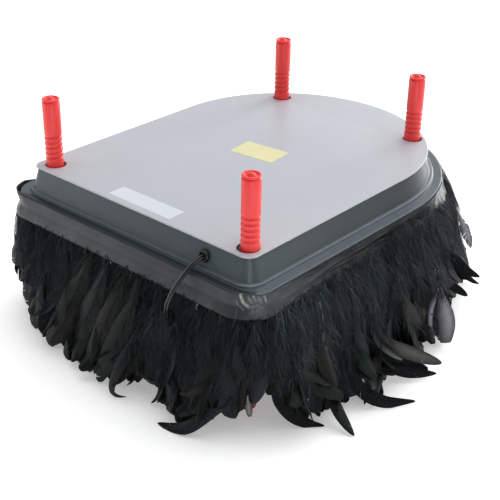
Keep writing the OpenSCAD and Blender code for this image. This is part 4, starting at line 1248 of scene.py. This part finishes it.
HEROES = [  # places, height of the tip, e of the base, half width, start, paleness, material, point, skew, twist
    ([(344, 345), (347, 360), (353, 376), (365, 392), (383, 401), (400, 402.3), (416, 401)], 2, 34, 8.5, 0.22, 0.0, MATT, 1.5, 0.15, (0, 18)),
    ([(331, 368), (332, 386), (336, 405), (345, 422), (354.6, 436)], 2, 28, 8.5, 0.22, 0.01, 1, 1.5, -0.1, (-6, -16)),
    ([(275, 358), (276, 376), (281, 396), (293, 414), (308, 423), (325, 426)], 2, 25, 9.5, 0.25, 0.0, MATT, 1.4, 0.1, (0, 20)),
    ([(314, 372), (317, 394), (318, 414)], 4, 28, 4.5, 0.2, 0.02, 1, 1.4, 0, (10, 20)),
    ([(383, 335), (378, 358), (371, 383), (364, 405)], 3, 36, 6.5, 0.3, 0.02, 3, 1.6, 0, (0, 25)),
    ([(388, 345), (383, 368), (377, 390), (373, 407)], 3, 37, 5.5, 0.3, 0.0, 0, 1.6, 0, (8, -10)),
    ([(378, 330), (388, 340), (402, 348), (420, 355), (442, 363)], 16, 40, 9.0, 0.25, 0.42, 3, 1.3, 0.2, (0, 12)),
    ([(376, 352), (388, 365), (408, 372), (437, 373.5)], 8, 38, 6.5, 0.25, 0.02, MATT, 1.5, 0.1, (0, 10)),
    ([(441, 294), (445, 308), (448.5, 324), (447, 343)], 18, 50, 12.0, 0.22, 0.75, 2, 0.7, 0.1, (6, 0)),
    ([(438, 293), (432, 306), (430, 322), (433, 338)], 20, 50, 3.5, 0.15, 1.0, 2, 1.0, 0, (0, 10)),
    ([(436, 276), (448, 285), (458, 290), (467.6, 296)], 40, 18, 6.5, 0.25, 0.0, MATT, 1.4, 0, (0, 15)),
    ([(443, 246), (456, 260), (468, 271), (480, 277)], 66, 20, 6.5, 0.25, 0.0, MATT, 1.5, 0, (0, 20)),
    ([(446, 258), (459, 270), (470, 279), (479.6, 284)], 52, 24, 5.0, 0.25, 0.0, MATT, 1.5, 0, (0, -15)),
    ([(457, 210), (463, 224), (468, 237), (471, 248)], 90, 25.5, 6.5, 0.1, 0.8, 2, 1.5, 0, (0, 20)),
    ([(400, 292), (412, 316), (421, 341)], 14, 44, 11.0, 0.25, 0.02, 3, 0.7, 0, (0, 12)),
    ([(410, 262), (424, 290), (434, 322)], 20, 46, 10.0, 0.3, 0.0, MATT, 1.0, 0, (0, 12)),
    ([(134, 300), (122, 330), (109, 358), (99, 382)], 3, 24, 13.0, 0.03, 0.0, 1, 1.0, 0.1, (8, -6)),
    ([(120, 286), (108, 318), (96, 346), (86, 370)], 3, 24, 15.0, 0.03, 0.0, 3, 0.85, -0.1, (-8, 10)),
    ([(104, 274), (92, 306), (78, 334), (65, 357)], 3, 22, 16.0, 0.03, 0.015, 1, 0.8, 0.1, (6, 16)),
    ([(88, 266), (74, 296), (60, 322), (48, 344)], 3, 18, 16.0, 0.03, 0.02, 3, 0.75, 0, (-6, 8)),
    ([(70, 258), (58, 284), (44, 306), (31, 324)], 5, 13, 16.0, 0.03, 0.02, 1, 0.65, 0, (4, 12)),
    ([(56, 262), (46, 282), (38, 300), (31, 312)], 10, 11, 11.0, 0.2, 0.0, 3, 0.9, 0, (0, -10)),
    ([(140, 326), (132, 343), (122, 363), (114, 380), (112, 391), (118, 396), (128, 396.6)], 2, 27, 7.0, 0.25, 0.0, 0, 2.0, 0.2, (-5, 20)),
    ([(145, 350), (142, 366), (139, 381)], 4, 26, 6.0, 0.25, 0.0, 0, 1.2, 0, (0, 10)),
    ([(166, 366), (162, 384), (157, 397), (151, 403.5)], 3, 27, 4.5, 0.25, 0.02, 0, 1.4, 0, (0, 40)),
    ([(180, 360), (177, 384), (173, 415)], 3, 27, 14.0, 0.25, 0.0, 0, 0.6, 0, (0, 8)),
    ([(238, 400), (227, 406.5), (214, 413), (202, 420), (186, 429), (170, 427.5), (157, 422.6)], 2, 26, 7.5, 0.12, 0.02, 0, 1.5, 0.15, (0, 30)),
    ([(226, 368), (229, 392), (229, 418)], 14, 27, 12.5, 0.25, 0.01, 1, 0.7, 0, (0, 10)),
    ([(206, 360), (203, 388), (199, 414)], 3, 27, 10.0, 0.25, 0.01, 3, 0.9, 0, (0, 14)),
    ([(254, 322), (257, 346), (261, 370), (265, 391)], 48, 24, 14.5, 0.2, 0.05, DOWN, 0.7, 0.1, (-8, 4)),
    ([(324, 322), (322, 344), (320, 366), (320, 388)], 6, 34, 8.0, 0.25, 0.35, 2, 0.9, 0.1, (0, 10)),
    ([(300, 345), (303, 368), (308, 390)], 18, 28, 9.5, 0.25, 0.0, 0, 1.0, 0, (0, 10)),
    ([(356, 320), (360, 342), (366, 366), (369, 380)], 5, 38, 9.0, 0.25, 0.03, 2, 1.0, 0, (0, 12)),
    ([(253, 346), (256, 370), (257, 386), (255, 398)], 44, 25, 8.0, 0.2, 0.0, 0, 1.1, 0, (0, 10)),
    ([(236, 350), (238, 374), (238, 392), (235, 404)], 40, 27, 8.0, 0.2, 0.0, 1, 1.1, 0, (0, 10)),
    # a pale narrow feather under the front right foot: painted reflection of the leg
    ([(247.5, 400), (248.5, 408), (249, 417)], 18, 30, 4.0, 0.0, 0.9, 3, 0.9, 0, (0, 20)),
    ([(126, 310), (118, 342), (109, 379)], 4, 20, 10.0, 0.1, 0.0, MATT, 0.8, 0, (0, 8)),
    ([(100, 300), (90, 332), (80, 364)], 4, 18, 12.0, 0.1, 0.0, MATT, 0.7, 0, (0, 8)),
    ([(82, 290), (74, 316), (63, 346)], 4, 15, 12.0, 0.1, 0.0, MATT, 0.7, 0, (0, 8)),
    ([(150, 340), (151, 362), (152, 384)], 4, 22, 9.0, 0.1, 0.0, MATT, 0.8, 0, (0, 8)),
    ([(136, 345), (136, 366), (136, 382)], 4, 22, 8.0, 0.1, 0.0, MATT, 0.8, 0, (0, 8)),
    ([(162, 368), (162, 388), (162, 404)], 4, 23, 7.0, 0.1, 0.0, MATT, 0.8, 0, (0, 8)),
    ([(181, 380), (181, 404), (180, 424)], 3, 23, 10.0, 0.1, 0.0, MATT, 0.7, 0, (0, 8)),
    ([(268, 352), (270, 376), (271, 395)], 44, 22, 10.0, 0.1, 0.0, MATT, 0.8, 0, (0, 8)),
    ([(288, 366), (297, 394), (307, 419)], 3, 22, 10.0, 0.1, 0.0, MATT, 0.9, 0, (0, 8)),
    ([(316, 362), (323, 388), (328, 410)], 3, 26, 8.0, 0.1, 0.0, MATT, 0.9, 0, (0, 8)),
    ([(366, 356), (373, 376), (382, 395)], 3, 32, 8.0, 0.1, 0.0, MATT, 0.9, 0, (0, 8)),
    ([(378, 342), (393, 357), (410, 366), (428, 370)], 8, 37, 9.0, 0.15, 0.0, MATT, 1.1, 0, (0, 8)),
]
LOOSE = {(457, 210)}     # a tip whose vane has come apart
hero_rng = np.random.default_rng(77)
for px, tip_z, e_base, half, start, pale, mat, point, skew, tw in HEROES:
    loose, near_left = px[0] in LOOSE, px[0][0] < 145
    line, face, s = placed(px, tip_z, e_base, root=30.0 if px[0][1] < 380 and not loose else 5.0)
    face = twist(line, face, *tw)
    feather(blades[sector_of(s)], hero_rng, line, face, half, start, (pale, hero_rng.random(), 0), mat, point=point,
            cup=0.22, splits=8 if loose else 2, floor=0.4, quill=0.55, rows=34, skew=skew, fray=1.6 if loose else 0.7 if near_left else 0.2)
    if line[0, 2] > 60 and not loose:
        down(soft[soft_of(s)], hero_rng, line + face * 1.2, face, 110 if near_left else 60, (0.01, hero_rng.random()), DOWN, lo=0.0,
             hi=0.62 if near_left else 0.40, spread=(8, 40), long=(14, 32))

# soft plumes that close over the cord
for u in (152, 157, 161, 164, 167, 171, 176):
    for v in (306, 314, 322):
        line, face, s = placed([(u, v), (u - 1.5, v + 18), (u - 3.5, v + 38)], 55, 33, root=8)
        line = line + np.array((0, 0, 1.0)) * max(0.0, 30 - line[-1, 2])
        down(soft[soft_of(s)], hero_rng, line, face, 34, (0.01, hero_rng.random()), DOWN, lo=0.1, hi=1.0, spread=(8, 45))

# bare quills that show under the band
for u, v, lean, long in ((85, 252, 2, 16), (222, 310, 2, 14), (131, 275, -3, 13),
                         (60, 240, -2, 12), (104, 262, 4, 14), (158, 290, -4, 12), (236, 314, -3, 14), (178, 300, 4, 15)):
    base, n2, s = on_skirt(u, v, 9.5)
    d = unit(np.array((n2[0] * 0.35, n2[1] * 0.35, -1.0)) + CAM_X * lean * 0.03)
    line = base + d * np.linspace(-6, long, 8)[:, None] + np.array((n2[0], n2[1], 0)) * (np.linspace(0, 1, 8) ** 2 * 3)[:, None]
    tan, face, wide = axes(line, np.repeat(CAM_Z[None], 8, 0))
    r = (0.42 * (1 - 0.75 * np.linspace(0, 1, 8)))[:, None]
    ring = np.stack([line + wide * r, line + face * r, line - wide * r, line - face * r, line + wide * r], 1)
    uv = np.zeros(ring.shape[:2] + (2,)); uv[..., 0] = 0.5
    blades[sector_of(s)].grid(ring[:, ::-1], uv, (0.5, hero_rng.random(), 0), 3)

for name, node in SECTORS.items():
    ob = blades[name].build("feathers_" + name, FEATHER_MATS)
    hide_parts(node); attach(ob, "plate")
    print(ob.name, len(ob.data.polygons), "quads")
for name in soft:
    ob = soft[name].build("down_" + name, FEATHER_MATS)
    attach(ob, "plate")
    print(ob.name, len(ob.data.polygons), "quads")

# --------------------------------------------- what shows of the other nodes

replaced = set()
for name, ob in NODES.items():
    if not ob.hide_render:
        wear(name, M[slot_of[name]] if slot_of[name] in M else M["black_plastic"])

# ------------------------------------------------------------ floor, light

k = Mat("pale_floor")
k.set(Base_Color=k.ramp(k.noise(1.2, 2), [(0.3, (0.905, 0.905, 0.905)), (0.7, (0.93, 0.93, 0.93))]),
      Roughness=k.remap(k.noise(3, 2), 0.3, 0.7, 0.34, 0.40))
k.b.inputs["Specular IOR Level"].default_value = 0.25
k.b.inputs["Emission Color"].default_value = (1, 1, 1, 1)
k.b.inputs["Emission Strength"].default_value = 0.32
floor = add_object("floor", [(-9, -9, 0), (9, -9, 0), (9, 9, 0), (-9, 9, 0)], [(0, 1, 2, 3)], k.m, smooth=False)

world = bpy.data.worlds.new("studio")
scene.world = world
world.use_nodes = True
wt = world.node_tree
bg = wt.nodes["Background"]
tc = wt.nodes.new("ShaderNodeTexCoord")
dot = wt.nodes.new("ShaderNodeVectorMath"); dot.operation = "DOT_PRODUCT"
dot.inputs[1].default_value = (0.10, 0.89, 0.43)
wt.links.new(tc.outputs["Generated"], dot.inputs[0])
rng = wt.nodes.new("ShaderNodeMapRange")
rng.inputs[1].default_value, rng.inputs[2].default_value = 0.0, 0.9
rng.inputs[3].default_value, rng.inputs[4].default_value = 0.24, 1.05
wt.links.new(dot.outputs["Value"], rng.inputs[0])
wt.links.new(rng.outputs[0], bg.inputs["Strength"])
bg.inputs["Color"].default_value = (0.97, 0.985, 1.0, 1)


def sun(name, direction, strength, angle, color=(1, 1, 1)):
    d = bpy.data.lights.new(name, "SUN")
    d.energy, d.angle, d.color = strength, math.radians(angle), color
    o = bpy.data.objects.new(name, d)
    o.rotation_euler = Vector(direction).to_track_quat("-Z", "Y").to_euler()
    scene.collection.objects.link(o)


def area(name, at, towards, size, power, color=(1, 1, 1)):
    d = bpy.data.lights.new(name, "AREA")
    d.shape, d.size, d.size_y, d.energy, d.color = "RECTANGLE", size[0], size[1], power, color
    o = bpy.data.objects.new(name, d)
    o.location = at
    o.rotation_euler = (Vector(towards) - Vector(at)).to_track_quat("-Z", "Y").to_euler()
    scene.collection.objects.link(o)


sun("overhead", (-0.10, -0.18, -1), 1.38, 70)
area("back_right", (0.0, 2.3, 0.7), (0.12, 0.15, 0.17), (0.9, 1.1), 24)
area("front_strip", (1.3, -1.12, 0.30), (0.15, -0.15, 0.16), (0.22, 0.5), 1.5)
area("left", (-1.0, -0.9, 0.5), (-0.1, -0.2, 0.17), (0.5, 0.8), 2.4)
